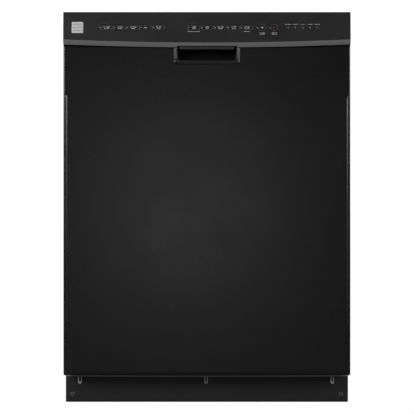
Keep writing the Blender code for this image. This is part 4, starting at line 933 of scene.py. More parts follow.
class DISHWASHER_OT_pocket(PieceOperator, bpy.types.Operator):
    """The handle pocket with its beaded rim, and the grip strip of the latch paddle"""

    bl_idname = "dishwasher.pocket"
    bl_label = "Handle pocket"

    def make(self, sizes):
        self.rim(sizes)
        self.scoop()
        self.paddle()

    def rim(self, sizes):
        """The rim: a bead, a groove and an outer bead, as a closed section (out, height) along the
        outline."""
        wide, high = sizes.rim_width, sizes.rim_height
        out = np.array(
            [0.0, 0.02, 0.08, 0.2, 0.34, 0.42, 0.5, 0.62, 0.72, 0.8, 0.88, 0.97, 1.0, 1.0, 0.5, 0.0]
        ) * wide
        rise = np.array(
            [0.0, 0.5, 0.85, 1.0, 0.85, 0.5, 0.12, 0.05, 0.10, 0.40, 0.50, 0.35, 0.1, -0.5, -0.6, -0.5]
        )
        top = LIP_TOP_LOW_Z - LIP_HEIGHT + 0.0008
        rows = [scoop_outline(grow, top) for grow in out]
        y = PANEL_LOW.y - rise * high
        points = np.stack(
            [np.column_stack([row[:, 0], np.full(len(row), d), row[:, 1]]) for row, d in zip(rows, y)], 1
        )
        ends = [np.repeat(points[i].mean(0)[None, None], len(out), 1) for i in (0, -1)]
        shell = grid(np.concatenate([ends[0], points, ends[1]]), wrap_cols=True)
        make_piece("pocket_rim", [shell], "rim_plastic", "door", sharp=60)

    def scoop(self):
        """The hollow: the outline carried back, rounded in at its back, then drawn to the top of its
        back wall."""
        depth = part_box("handle_pocket")[1].y - PANEL_LOW.y - 0.0022
        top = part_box("handle_pocket")[1].z - 0.0018
        turn = np.linspace(0, math.pi / 2, 6)
        corner = 0.005
        back = np.concatenate(
            [np.linspace(-0.0004, depth - corner, 7), depth - corner + corner * np.sin(turn[1:])]
        )
        shrink = np.concatenate([np.zeros(7), -corner * (1 - np.cos(turn[1:]))])
        rows = [scoop_outline(grow, top) for grow in shrink]
        points = np.stack(
            [
                np.column_stack([r[:, 0], np.full(len(r), PANEL_LOW.y + d), r[:, 1]])
                for r, d in zip(rows, back)
            ]
        )
        hub = np.array([0, PANEL_LOW.y + depth, top])
        closing = [hub + (points[-1] - hub) * share for share in (0.66, 0.33, 0.0)]
        walls = grid(np.concatenate([points, closing]))
        x = np.linspace(-MOUTH_HALF, MOUTH_HALF, 9)
        y = PANEL_LOW.y + np.linspace(0.004, depth, 4)
        ceiling = np.stack([*np.meshgrid(x, y, indexing="ij"), np.full((9, 4), top)], -1)
        # The hollow gets the near black, dull finish: painted shade for the recess.
        make_piece(
            "pocket_scoop", [walls, grid(ceiling)], "cavity_plastic", "door",
            ["handle_pocket"], False
        )

    def paddle(self):
        """The grip strip, a crowned block with round ends, and the finger tab behind it."""
        low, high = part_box("latch_paddle")
        z = MOUTH_TOP_Z - 0.0003 - 0.0034
        strip = slab(high.x, 0.0034, 0.0030, 0.0012, 0.0050, crown=0.0004, steps=8, rounds=6)
        strip = placed(strip, (0, low.y, z), FRONT)
        tab = slab(high.x - 0.004, 0.0010, 0.0008, 0.0004, high.y - low.y - 0.0045)
        tab = placed(tab, (0, low.y + 0.0045, z), FRONT)
        make_piece(
            "latch_grip", [strip, tab], "grip_plastic", "latch_paddle", ["latch_paddle"]
        )


class DISHWASHER_OT_toe_panel(PieceOperator, bpy.types.Operator):
    """The toe panel with its slots, near-white tubes round the slot edges as painted highlights, a light
    strip along its top as a painted highlight, dark pads behind the slots as painted shade, and its two
    screws
    """

    bl_idname = "dishwasher.toe_panel"
    bl_label = "Toe panel"

    def make(self, sizes):
        edge, slots, slot_low = 0.0025, (-0.2718, -0.0016, 0.2684), 0.0458
        half_slot = 0.0027
        bead = sizes.slot_highlight_bead
        us = cut_lines(
            -TOE_HIGH.x + edge, TOE_HIGH.x - edge, 70, [x + s * half_slot for x in slots for s in (-1, 1)]
        )
        vs = cut_lines(TOE_LOW.z + edge, TOE_HIGH.z - edge, 14, [slot_low])
        keep = np.all([outside(us, vs, x - half_slot, x + half_slot, slot_low, 1) for x in slots], axis=0)
        panel = placed(tray(us, vs, edge, TOE_HIGH.y - TOE_LOW.y, "brtl", keep), (0, TOE_LOW.y, 0), FRONT)
        make_piece("toe_skin", [panel], "toe_paint", "root", ["toe_panel"], False, wall=0.0010)
        # Near-white tubes round each slot: painted highlights for the light that the stamped slots' rounded
        # edges catch.
        turn = np.linspace(0, math.pi, 11)
        path = np.concatenate(
            [
                [[-half_slot, TOE_HIGH.z - 0.0008]],
                np.column_stack([-half_slot * np.cos(turn), slot_low - half_slot * np.sin(turn)]),
                [[half_slot, TOE_HIGH.z - 0.0008]],
            ]
        )
        line = np.column_stack([path[:, 0], np.zeros(len(path)), path[:, 1]])
        highlight_edging = repeated(tube(line, bead, (0, 1, 0), 10), [(x, TOE_LOW.y - 0.0002, 0) for x in slots])
        make_piece("toe_slot_edges", [highlight_edging], "slot_edge", "root")
        # Dark rubber pads behind the slots: painted shade, so that the open slots read dark.
        pad = slab(0.010, 0.016, 0.002, 0.001, 0.003)
        slot_shade_pads = [placed(pad, (x, TOE_LOW.y + 0.008, TOE_HIGH.z - 0.018), FRONT) for x in slots]
        make_piece("toe_slot_backing", slot_shade_pads, "seal_rubber", "root")
        # A light grey tube along the toe panel's top, set a little proud: a painted highlight for the bright
        # line under the door's lower edge.
        x = np.linspace(-TOE_HIGH.x + 0.0008, TOE_HIGH.x - 0.0008, 61)
        sag = 0.0012 * (1 - (x / TOE_HIGH.x) ** 2)
        roll = np.column_stack([x, np.full(61, TOE_LOW.y - 0.0006), 0.0597 - sag])
        make_piece("toe_top_roll", [tube(roll, 0.0018, (0, 1, 0), 14)], "roll_paint", "root")
        places = [(-0.2875, TOE_LOW.y - 0.0001, 0.0195), (0.2868, TOE_LOW.y - 0.0001, 0.0190)]
        self.screws(places)

    def screws(self, places):
        """Washer-headed screws: a turned head with a dished middle, over a cross of two bars."""
        head = [(0, 0.0010), (0.0022, 0.0010), (0.0031, 0.0021), (0.0040, 0.0019), (0.0044, 0.0008)]
        head = turned([*head, (0.0054, 0.0006), (0.0055, 0.0), (0, -0.0004)], 28)
        bar = slab(0.0019, 0.0004, 0.0003, 0.0001, 0.0004, steps=2, rounds=2)
        cross = [placed(bar, (0, 0, 0.0016)), placed(bar, (0, 0, 0.0016), spun(math.pi / 2))]
        shells = [placed(shell, place, FRONT) for place in places for shell in [head, *cross]]
        make_piece("toe_screws", shells, "screw_black", "root")


# Inside and underneath

FRAME_FINISHES = {
    "console_plastic": ["control_console"], "lens_clear": ["status_lights"],
    "board_laminate": ["control_board"], "dark_moulding": ["latch_body"],
    "stainless_steel": ["door_strike", "rack_rail_left", "rack_rail_right"],
    "dispenser_moulding": ["detergent_dispenser"],
    "zinc_plate": [
        "hinge_arm_left", "hinge_arm_right", "base_rail_left", "base_rail_right", "rear_crossmember",
        "mounting_bracket_left", "mounting_bracket_right"
    ]
}


def smooth(t):
    """Rises from 0 to 1 as t does, level at both ends: 3t^2 - 2t^3."""
    t = np.clip(t, 0, 1)
    return t * t * (3 - 2 * t)


def raised_field(u, v, half_u, half_v, slope):
    """1 well inside a rectangle and 0 outside it, rising over the slope at its edges."""
    return smooth((half_u - np.abs(u)) / slope) * smooth((half_v - np.abs(v)) / slope)


class DISHWASHER_OT_door_liner(PieceOperator, bpy.types.Operator):
    """The inside of the door: a pan with a raised middle, pressed ribs and a hole for the dispenser"""

    bl_idname = "dishwasher.door_liner"
    bl_label = "Door liner"

    def make(self, sizes):
        low, high = LINER_LOW, LINER_HIGH
        hole_low, hole_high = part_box("detergent_dispenser")
        edge, bulge = 0.006, 0.0140
        middle = (low.z + high.z) / 2
        half_u, half_v = high.x - edge, (high.z - low.z) / 2 - edge
        us = cut_lines(-half_u, half_u, 150, [hole_low.x, hole_high.x])
        vs = cut_lines(-half_v, half_v, 170, [hole_low.z - middle, hole_high.z - middle])
        keep = outside(us, vs, hole_low.x, hole_high.x, hole_low.z - middle, hole_high.z - middle)

        def rise(u, v):
            """The raised middle, 14 mm high less a dished rim line, with two long ribs either side of
            the hole."""
            top = bulge * raised_field(u, v + 0.008, 0.2797, 0.3400, 0.010)
            rib = 0.0035 * raised_field(np.abs(u) - 0.175, v, 0.055, 0.285, 0.012)
            return top - rib - 0.0020 * raised_field(u, v - 0.245, 0.100, 0.060, 0.014)

        base = high.y - bulge
        shell = placed(tray(us, vs, edge, base - low.y, "brtl", keep, rise), (0, base, middle), BACK)
        make_piece(
            "liner_skin", [shell], "liner_moulding", "door", ["inner_door_liner"], False,
            wall=0.0018
        )


class DISHWASHER_OT_dispenser(PieceOperator, bpy.types.Operator):
    """The dispenser's frame, the detergent lid with its catch, and the rinse aid cap"""

    bl_idname = "dishwasher.dispenser"
    bl_label = "Dispenser"

    def make(self, sizes):
        low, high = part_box("detergent_dispenser")
        middle = [0, high.y, (low.z + high.z) / 2]
        line = rounded(high.x - 0.001, (high.z - low.z) / 2 - 0.001, 0.006, 8)
        rim = tube(np.column_stack([line, np.full(len(line), -0.001)]), 0.0019, (0, 0, 1), 10, True)
        pads = [
            placed(slab(0.004, 0.0022, 0.0020, 0.0006, 0.0012), (x, 0.0345, 0.0006))
            for x in (-0.052, -0.040, -0.028)
        ]
        shells = [placed(joined([rim, *pads]), middle, BACK)]
        make_piece("dispenser_frame", shells, "dispenser_moulding", "door")
        self.lid()
        self.cap()

    def lid(self):
        """A crowned lid with a finger catch at its top and a hinge rod along its foot."""
        low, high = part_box("detergent_lid")
        middle = between("detergent_lid")
        half_u, half_v = (high.x - low.x) / 2, (high.z - low.z) / 2
        lid = slab(half_u, half_v, 0.006, 0.0012, high.y - low.y, crown=0.0010, steps=8)
        catch = placed(slab(0.013, 0.0042, 0.0030, 0.0012, 0.0030, crown=0.0004), (0, half_v - 0.009, 0.0022))
        ribs = [
            placed(slab(0.0010, 0.014, 0.0009, 0.0004, 0.0012), (x, -0.008, 0.0012))
            for x in np.linspace(-0.02, 0.02, 5)
        ]
        shells = [placed(joined([lid, catch, *ribs]), (middle[0], high.y, middle[2]), BACK)]
        rod = tube(
            [
                (low.x + 0.004, high.y - 0.0018, low.z + 0.001),
                (middle[0], high.y - 0.0018, low.z + 0.001),
                (high.x - 0.004, high.y - 0.0018, low.z + 0.001)
            ],
            0.0016, (0, 0, 1), 12
        )
        make_piece(
            "detergent_lid_cover", [*shells, rod], "basket_moulding", "detergent_lid",
            ["detergent_lid"]
        )

    def cap(self):
        """A knurled disc, its radius r*(1 + 0.03 cos 20a), with a raised grip across it."""
        low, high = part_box("rinse_aid_cap")
        middle = between("rinse_aid_cap")
        r = (high.x - low.x) / 2
        thick = 0.006
        points, quads = turned(
            [(0, 0), (r * 0.8, 0), (r * 0.93, -0.0006), (r, -0.002), (r, -thick), (0, -thick)], 120, 3
        )
        angle = np.arctan2(points[:, 1], points[:, 0])
        reach = np.hypot(points[:, 0], points[:, 1]) / r
        points[:, :2] *= (1 - 0.03 * smooth((reach - 0.85) / 0.1) * (0.5 - 0.5 * np.cos(20 * angle)))[:, None]
        grip = placed(slab(r * 0.72, 0.0026, 0.0024, 0.0010, 0.0040, crown=0.0004), (0, 0, 0.0028))
        place = (middle[0], low.y + thick, middle[2])
        make_piece(
            "rinse_cap_knob", [placed(joined([(points, quads), grip]), place, BACK)], "cap_moulding",
            "rinse_aid_cap", ["rinse_aid_cap"]
        )


def tub_rows(front, half, low, high, corner, back, count, rows, closed=True):
    """A round-cornered shell's points: an outline (x, z) carried back from the front, drawn in round the
    back
    corner, then shrunk to the middle of the back wall."""
    middle, half_z = (low + high) / 2, (high - low) / 2
    line = evenly(rounded(half, half_z, corner, 10), count, True)
    flat = np.linspace(front, back - corner, rows)
    turn = np.linspace(0, math.pi / 2, 9)[1:]
    wall = [np.column_stack([line[:, 0], np.full(count, y), middle + line[:, 1]]) for y in flat]
    for a in turn:
        inset = corner * (1 - math.cos(a))
        share = np.array([(half - inset) / half, (half_z - inset) / half_z])
        y = back - corner + corner * math.sin(a)
        wall.append(
            np.column_stack([line[:, 0] * share[0], np.full(count, y), middle + line[:, 1] * share[1]])
        )
    hub = np.array([0, back, middle])
    wall += [hub + (wall[-1] - hub) * share for share in np.linspace(1, 0, 13)[1:]]
    return np.stack(wall)


class DISHWASHER_OT_tub(PieceOperator, bpy.types.Operator):
    """The wash tub with its flange, wall ledges and sump ring, and the rubber seal round its mouth"""

    bl_idname = "dishwasher.tub"
    bl_label = "Tub and seal"

    def make(self, sizes):
        wall = TUB_WALL
        front = TUB_LOW.y
        half, low, high = TUB_HALF - wall, TUB_FLOOR_Z, TUB_TOP_Z - wall
        points = tub_rows(front + 0.004, half, low, high, TUB_CORNER - wall, TUB_BACK_Y - wall, 260, 56)
        rows = len(points)
        x, y, z = points[..., 0], points[..., 1], points[..., 2]
        side = smooth((np.abs(x) - half + 0.004) / 0.003)
        press = raised_field(y - SPRAY[1], z - 0.36, 0.175, 0.11, 0.014) + raised_field(
            y - SPRAY[1], z - 0.70, 0.175, 0.055, 0.014
        )
        points[..., 0] -= np.sign(x) * 0.0035 * side * press
        roof = smooth((z - high + 0.004) / 0.003)
        points[..., 2] -= 0.003 * roof * raised_field(np.abs(x) - 0.13, y - SPRAY[1], 0.09, 0.18, 0.014)
        back = smooth((y - TUB_BACK_Y + wall + 0.002) / 0.001)
        ribs = raised_field(np.abs(np.abs(x) - 0.12), z - 0.45, 0.030, 0.24, 0.012)
        points[..., 1] -= 0.004 * back * ribs
        flange = []
        line = points[0]
        middle = np.array([0, 0, (low + high) / 2])
        spread = np.stack([np.sign(line[:, 0]), np.zeros(len(line)), np.sign(line[:, 2] - middle[2])], -1)
        outline = evenly(rounded(half, (high - low) / 2, TUB_CORNER - wall, 10), len(line), True)
        away = outline - np.column_stack(
            [
                np.clip(outline[:, 0], -half + TUB_CORNER, half - TUB_CORNER),
                np.clip(outline[:, 1], low - middle[2] + TUB_CORNER, high - middle[2] - TUB_CORNER)
            ]
        )
        away /= np.linalg.norm(away, axis=1, keepdims=True)
        spread[:, 0], spread[:, 2] = away[:, 0], away[:, 1]
        for out, step in (
            (0.0088, 0.0030), (0.0088, 0.0002), (0.0080, 0.0), (0.0030, 0.0), (0.0008, 0.0008),
            (0.0, 0.0025)
        ):
            flange.append(
                np.column_stack([line[:, 0], np.full(len(line), front + step), line[:, 2]]) + spread * out
            )
        points = np.concatenate([np.stack(flange), points])
        centre = (points[:-1, :] + points[1:, :]) / 2
        centre = (centre + np.roll(centre, -1, 1)) / 2
        from_sump = np.hypot(centre[..., 0], centre[..., 1] - SPRAY[1])
        keep = (from_sump > 0.084) | (centre[..., 2] > low + 0.01)
        shell = grid(points, wrap_cols=True, keep=keep)
        make_piece("tub_shell", [shell], "tub_moulding", "root", ["tub"], False, wall=0.0024)
        self.ring(rows)
        self.ledges()
        self.seal()

    def ring(self, rows):
        """The raised ring that edges the sump's mouth."""
        profile = [
            (0.0795, -0.012), (0.0795, 0.0), (0.0805, 0.0014), (0.0830, 0.0020), (0.0900, 0.0016),
            (0.0990, 0.0003), (0.0990, -0.0012), (0.083, -0.0012), (0.0825, -0.012)
        ]
        place = (0, SPRAY[1], TUB_FLOOR_Z)
        points, quads = turned([*profile, profile[0]], 96)
        make_piece("sump_ring", [placed((points, quads), place)], "tub_moulding", "root")

    def ledges(self):
        """The ledge along each side that the lower rack rolls on: a rounded section carried along y."""
        inner = TUB_HALF - TUB_WALL
        section = np.array(
            [
                (0.0, -0.012), (-0.030, -0.004), (-0.0385, -0.0015), (-0.040, 0.0), (-0.0385, 0.0012),
                (-0.034, 0.0006), (-0.006, 0.0), (0.0, 0.004)
            ]
        )
        y = np.linspace(TUB_LOW.y + 0.006, TUB_BACK_Y - 0.034, 24)
        shells = []
        for side in (-1, 1):
            points = np.empty((len(y), len(section), 3))
            points[..., 0] = side * (inner + section[:, 0])[None]
            points[..., 1] = y[:, None]
            points[..., 2] = (TUB_FLOOR_Z + 0.0088 + section[:, 1])[None]
            ends = [np.repeat(points[i].mean(0)[None, None], len(section), 1) for i in (0, -1)]
            shells.append(grid(np.concatenate([ends[0], points, ends[1]]), wrap_cols=True))
        make_piece("rack_ledges", shells, "tub_moulding", "root")

    def seal(self):
        """The seal: a round bead with a lip, carried round the mouth."""
        y = (TUB_LOW.y + LINER_HIGH.y - 0.014) / 2
        low, high = TUB_FLOOR_Z + TUB_WALL, TUB_TOP_Z - 2 * TUB_WALL
        line = evenly(rounded(TUB_HALF + 0.001, (high - low) / 2, TUB_CORNER, 12), 260, True)
        path = np.column_stack([line[:, 0], np.full(len(line), y), (low + high) / 2 + line[:, 1]])
        lip = path * [0.9922, 1, 1] + [0, 0.0006, 0]
        lip[:, 2] = (low + high) / 2 + line[:, 1] * 0.9930
        shells = [tube(path, 0.0030, (0, 1, 0), 14, True), tube(lip, 0.0011, (0, 1, 0), 8, True)]
        make_piece("mouth_seal", shells, "seal_rubber", "root", ["tub_gasket"])


class DISHWASHER_OT_blanket(PieceOperator, bpy.types.Operator):
    """The sound-deadening felt over the tub's top, sides and back"""

    bl_idname = "dishwasher.blanket"
    bl_label = "Sound blanket"

    def make(self, sizes):
        """The tub's own form grown outwards, dimpled by rows of quilting: thickness 5 mm less 1.2 mm at
        each
        stitch, where both sines are near zero. What would be under its lower edge is drawn up to it, and
        its front is left open."""
        low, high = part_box("sound_blanket")
        points = tub_rows(
            low.y, high.x - 0.0022, low.z - 0.10, high.z - 0.0022, 0.036, high.y - 0.0022, 300, 44
        )
        middle = np.array([0, SPRAY[1], (low.z + high.z) / 2])
        away = points - middle
        away /= np.linalg.norm(away, axis=-1, keepdims=True)
        x, y, z = (points[..., i] for i in range(3))
        quilt = np.abs(np.sin(math.pi * (x + y) / 0.075) * np.sin(math.pi * (z + y - x) / 0.075)) ** 0.5
        points = points + away * (0.0016 * (quilt - 0.6))[..., None]
        highest = np.maximum(points[:-1, :, 2], points[1:, :, 2])
        keep = np.maximum(highest, np.roll(highest, -1, 1)) > low.z + 0.0002
        points[..., 2] = np.maximum(points[..., 2], low.z)
        shell = grid(points, wrap_cols=True, keep=keep)
        made = make_piece(
            "sound_felt", [shell], "felt_pad", "root", ["sound_blanket"], False, wall=0.0042
        )


def u_wire(axis, at, low, high, bottom, top, radius, corner=0.014):
    """A wire that comes down one side, along the bottom and up the other, at one place across the axis."""
    line = bent([(low, top), (low, bottom), (high, bottom), (high, top)], corner, 5)
    path = np.empty((len(line), 3))
    path[:, axis] = at
    path[:, 1 - axis] = line[:, 0]
    path[:, 2] = line[:, 1]
    across = np.zeros(3)
    across[axis] = 1
    return tube(path, radius, across, 8)


def hoop(half_x, low_y, high_y, z, radius, corner=0.022):
    """A rack's closed rim wire, level at one height."""
    middle = (low_y + high_y) / 2
    line = rounded(half_x, (high_y - low_y) / 2, corner, 6)
    path = np.column_stack([line[:, 0], middle + line[:, 1], np.full(len(line), z)])
    return tube(path, radius, (0, 0, 1), 10, True)


class DISHWASHER_OT_racks(PieceOperator, bpy.types.Operator):
    """Both racks in coated wire, their rollers and grips, the fold-down tines and the cutlery basket"""

    bl_idname = "dishwasher.racks"
    bl_label = "Racks and basket"

    def make(self, sizes):
        self.rack(sizes, "lower_rack", 13, 15, [0.42, 0.74])
        self.rack(sizes, "upper_rack", 13, 17, [0.5])
        self.lower_tines(sizes)
        self.cups(sizes)
        self.rollers(sizes)
        self.fold_down(sizes)
        self.basket()

    def rack(self, sizes, node, across, along, hoops):
        """Wires down, along and up in both directions, with level hoops round them and a heavier rim."""
        low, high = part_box(node)
        half, front, back = high.x - 0.0024, low.y + 0.0024, high.y - 0.0024
        bottom, top = low.z + 0.0022, high.z - 0.0023
        thin = sizes.wire
        shells = [
            u_wire(1, y, -half, half, bottom, top, thin)
            for y in np.linspace(front + 0.030, back - 0.030, across)
        ]
        shells += [
            u_wire(0, x, front, back, bottom + 0.0026, top, thin)
            for x in np.linspace(-half + 0.030, half - 0.030, along)
        ]
        shells += [hoop(half, front, back, bottom + (top - bottom) * share, thin) for share in hoops]
        shells += [
            hoop(half, front, back, top, sizes.rim_wire), hoop(half, front, back, bottom + 0.012, thin)
        ]
        make_piece(f"{node}_wires", shells, "rack_coating", node, [node])
        grip = placed(
            slab(0.075, 0.0105, 0.009, 0.003, 0.010, crown=0.0012, steps=8),
            (0, front - 0.0018, top - 0.008), FRONT
        )
        hollow = [
            placed(slab(0.0022, 0.007, 0.002, 0.0008, 0.003), (x, front - 0.0010, top - 0.008), FRONT)
            for x in np.linspace(-0.055, 0.055, 9)
        ]
        make_piece(f"{node}_grip", [grip, *hollow], "roller_nylon", node)

    def tine_row(self, sizes, x, ys, bottom, height, lean=0.0):
        """A row of upright tines with round tips, each leaning a little back."""
        step = np.linspace(0, 1, 4)
        path = np.column_stack([np.zeros(4), lean * step**2, bottom + height * step])
        return repeated(tube(path, sizes.wire, (1, 0, 0), 8), [(x, y, 0) for y in ys])

    def lower_tines(self, sizes):
        low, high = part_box("lower_rack")
        # Halfway between the places where the folding row's tines come down.
        ys = SPRAY[1] + 0.010 + 0.020 * (np.arange(sizes.tine_count) - sizes.tine_count // 2)
        bottom = low.z + 0.004
        shells = [self.tine_row(sizes, x, ys, bottom, 0.070, 0.006) for x in (-0.205, -0.130, 0.020, 0.095)]
        rods = [(x, high.y - 0.010) for x in (-0.205, -0.130, 0.020, 0.095)]
        for x, end in rods:
            line = np.array([(x, low.y + 0.006, bottom), (x, 0.0, bottom), (x, end, bottom)])
            shells.append(tube(line, sizes.wire, (0, 0, 1), 8))
        make_piece("plate_tines", shells, "rack_coating", "lower_rack")

    def cups(self, sizes):
        """Cup shelves of bent wire along both sides of the upper rack, and its short tines."""
        low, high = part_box("upper_rack")
        z = low.z + 0.066
        shells = []
        for side in (-1, 1):
            for y in np.linspace(-0.165, 0.205, 12):
                line = bent(
                    [
                        (side * 0.246, y, z + 0.010), (side * 0.205, y, z), (side * 0.165, y, z + 0.002),
                        (side * 0.160, y, z + 0.016)
                    ],
                    0.010, 4
                )
                shells.append(tube(line, sizes.wire * 0.9, (0, 1, 0), 8))
            for x, lift in ((0.246, 0.010), (0.205, -0.0026), (0.160, 0.014)):
                line = np.array(
                    [(side * x, -0.172, z + lift), (side * x, 0.02, z + lift), (side * x, 0.212, z + lift)]
                )
                shells.append(tube(line, sizes.wire, (0, 0, 1), 8))
        ys = np.linspace(-0.165, 0.205, 11)
        shells += [self.tine_row(sizes, x, ys, low.z + 0.004, 0.050, 0.005) for x in (-0.070, 0.0, 0.070)]
        for x in (-0.070, 0.0, 0.070):
            line = np.array(
                [
                    (x, low.y + 0.006, low.z + 0.007), (x, 0.0, low.z + 0.007),
                    (x, high.y - 0.006, low.z + 0.007)
                ]
            )
            shells.append(tube(line, sizes.wire, (0, 0, 1), 8))
        make_piece("cup_shelves", shells, "rack_coating", "upper_rack")

    def rollers(self, sizes):
        """Rollers: a turned tyre with a sunk web and a hub, on a stub axle from the rack's side."""

        def roller(r, wide):
            profile = [
                (0, wide * 0.55), (r * 0.24, wide * 0.5), (r * 0.28, wide * 0.22), (r * 0.70, wide * 0.22),
                (r * 0.76, wide * 0.5), (r * 0.94, wide * 0.5), (r, wide * 0.36), (r, -wide * 0.36),
                (r * 0.94, -wide * 0.5), (r * 0.3, -wide * 0.5), (0, -wide * 0.5)
            ]
            return turned(profile, 36)

        low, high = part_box("lower_rack")
        r = sizes.roller
        x, z = 0.2660, TUB_FLOOR_Z + 0.0098 + r
        shells, axles = [], []
        for side, axes in ((-1, LEFT), (1, RIGHT)):
            for y in (-0.085, 0.050, 0.185):
                shells.append(placed(roller(r, 0.011), (side * x, y, z), axes))
                axles.append(
                    tube(
                        [(side * 0.2465, y, z), (side * 0.256, y, z), (side * 0.2655, y, z)], 0.0042,
                        (0, 0, 1), 14
                    )
                )
                plate = placed(slab(0.013, 0.019, 0.006, 0.0010, 0.0035), (side * 0.2535, y, z + 0.012), axes)
                axles.append(plate)
        make_piece("lower_rack_rollers", shells, "roller_nylon", "lower_rack")
        make_piece("lower_rack_axles", axles, "dark_moulding", "lower_rack")
        rail_low, rail_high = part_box("rack_rail_right")
        r = 0.0079
        z = (rail_low.z + rail_high.z) / 2
        shells, axles = [], []
        for side, axes in ((-1, LEFT), (1, RIGHT)):
            for y in (0.165, 0.234):
                shells.append(placed(roller(r, 0.009), (side * 0.2800, y, z), axes))
                axles.append(
                    tube(
                        [(side * 0.247, y, z), (side * 0.262, y, z), (side * 0.279, y, z)], 0.0030,
                        (0, 0, 1), 12
                    )
                )
            bar = placed(slab(0.048, 0.0080, 0.004, 0.0010, 0.0032), (side * 0.2535, 0.2, z), axes)
            axles.append(bar)
        make_piece("upper_rack_rollers", shells, "roller_nylon", "upper_rack")
        make_piece("upper_rack_axles", axles, "dark_moulding", "upper_rack")

    def fold_down(self, sizes):
        """The row of tines on one rod that folds flat, with a clip at each end."""
        low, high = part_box("fold_down_tines")
        x, z = (low.x + high.x) / 2, low.z + 0.002
        line = np.array([(x, low.y, z), (x, SPRAY[1], z), (x, high.y, z)])
        ys = SPRAY[1] + (np.arange(8) - 3.5) * 0.040
        shells = [tube(line, 0.0019, (0, 0, 1), 10), self.tine_row(sizes, x, ys, z, high.z - z, 0.0)]
        make_piece(
            "folding_tine_row", shells, "rack_coating", "fold_down_tines", ["fold_down_tines"]
        )
        clips = [
            placed(slab(0.005, 0.0045, 0.003, 0.0008, 0.006), (x, y, z + 0.001), FRONT)
            for y in (low.y + 0.010, high.y - 0.004)
        ]
        make_piece("tine_clips", clips, "roller_nylon", "lower_rack")

    def basket(self):
        """The cutlery basket: lattice walls round each cell, on an even outline, with a rim and a
        handle."""
        low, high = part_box("silverware_basket")
        middle = (low + high) / 2
        half_x, half_y = (high.x - low.x) / 2, (high.y - low.y) / 2
        height = high.z - low.z
        shells = []

        def lattice(line, rows, open_rows, closed=True):
            """A wall with slots: cells are left out where neither index is on a bar."""
            z = np.linspace(0, height, rows)
            points = np.stack([np.column_stack([line, np.full(len(line), h)]) for h in z])
            i, j = np.meshgrid(
                np.arange(rows - 1), np.arange(len(line) - (0 if closed else 1)), indexing="ij"
            )
            keep = (i % open_rows == 0) | (i >= rows - 3) | (i < 2) | (j % 3 == 0)
            return grid(points, wrap_cols=closed, keep=keep)

        outline = evenly(rounded(half_x - 0.001, half_y - 0.001, 0.008, 6), 150, True)
        shells.append(lattice(outline, 31, 7))
        for share in (-1 / 3, 1 / 3):
            x = np.linspace(-half_x + 0.0012, half_x - 0.0012, 16)
            shells.append(lattice(np.column_stack([x, np.full(16, share * half_y)]), 31, 7, False))
        u, v = np.linspace(
            -half_x + 0.003, half_x - 0.003, 19
        ), np.linspace(-half_y + 0.003, half_y - 0.003, 73)
        i, j = np.meshgrid(np.arange(18), np.arange(72), indexing="ij")
        flat = np.stack([*np.meshgrid(u, v, indexing="ij"), np.full((19, 73), 0.0012)], -1)
        shells.append(grid(flat, keep=(i % 3 == 0) | (j % 3 == 0)))
        shells = [placed(joined(shells), (middle.x, middle.y, low.z))]
        make_piece(
            "basket_lattice", shells, "basket_moulding", "lower_rack",
            ["silverware_basket"], False, wall=0.0018
        )
        rim = np.column_stack(
            [rounded(half_x - 0.0012, half_y - 0.0012, 0.008, 8), np.full(36, height - 0.0016)]
        )
        top = height + 0.030
        handle = bent(
            [
                (0, -half_y * 0.42, height * 0.5), (0, -half_y * 0.34, top), (0, half_y * 0.34, top),
                (0, half_y * 0.42, height * 0.5)
            ],
            0.020, 6
        )
        shells = [tube(rim, 0.0020, (0, 0, 1), 10, True), tube(handle, 0.0034, (1, 0, 0), 14)]
        shells = [placed(joined(shells), (middle.x, middle.y, low.z))]
        make_piece("basket_rim", shells, "basket_moulding", "lower_rack")


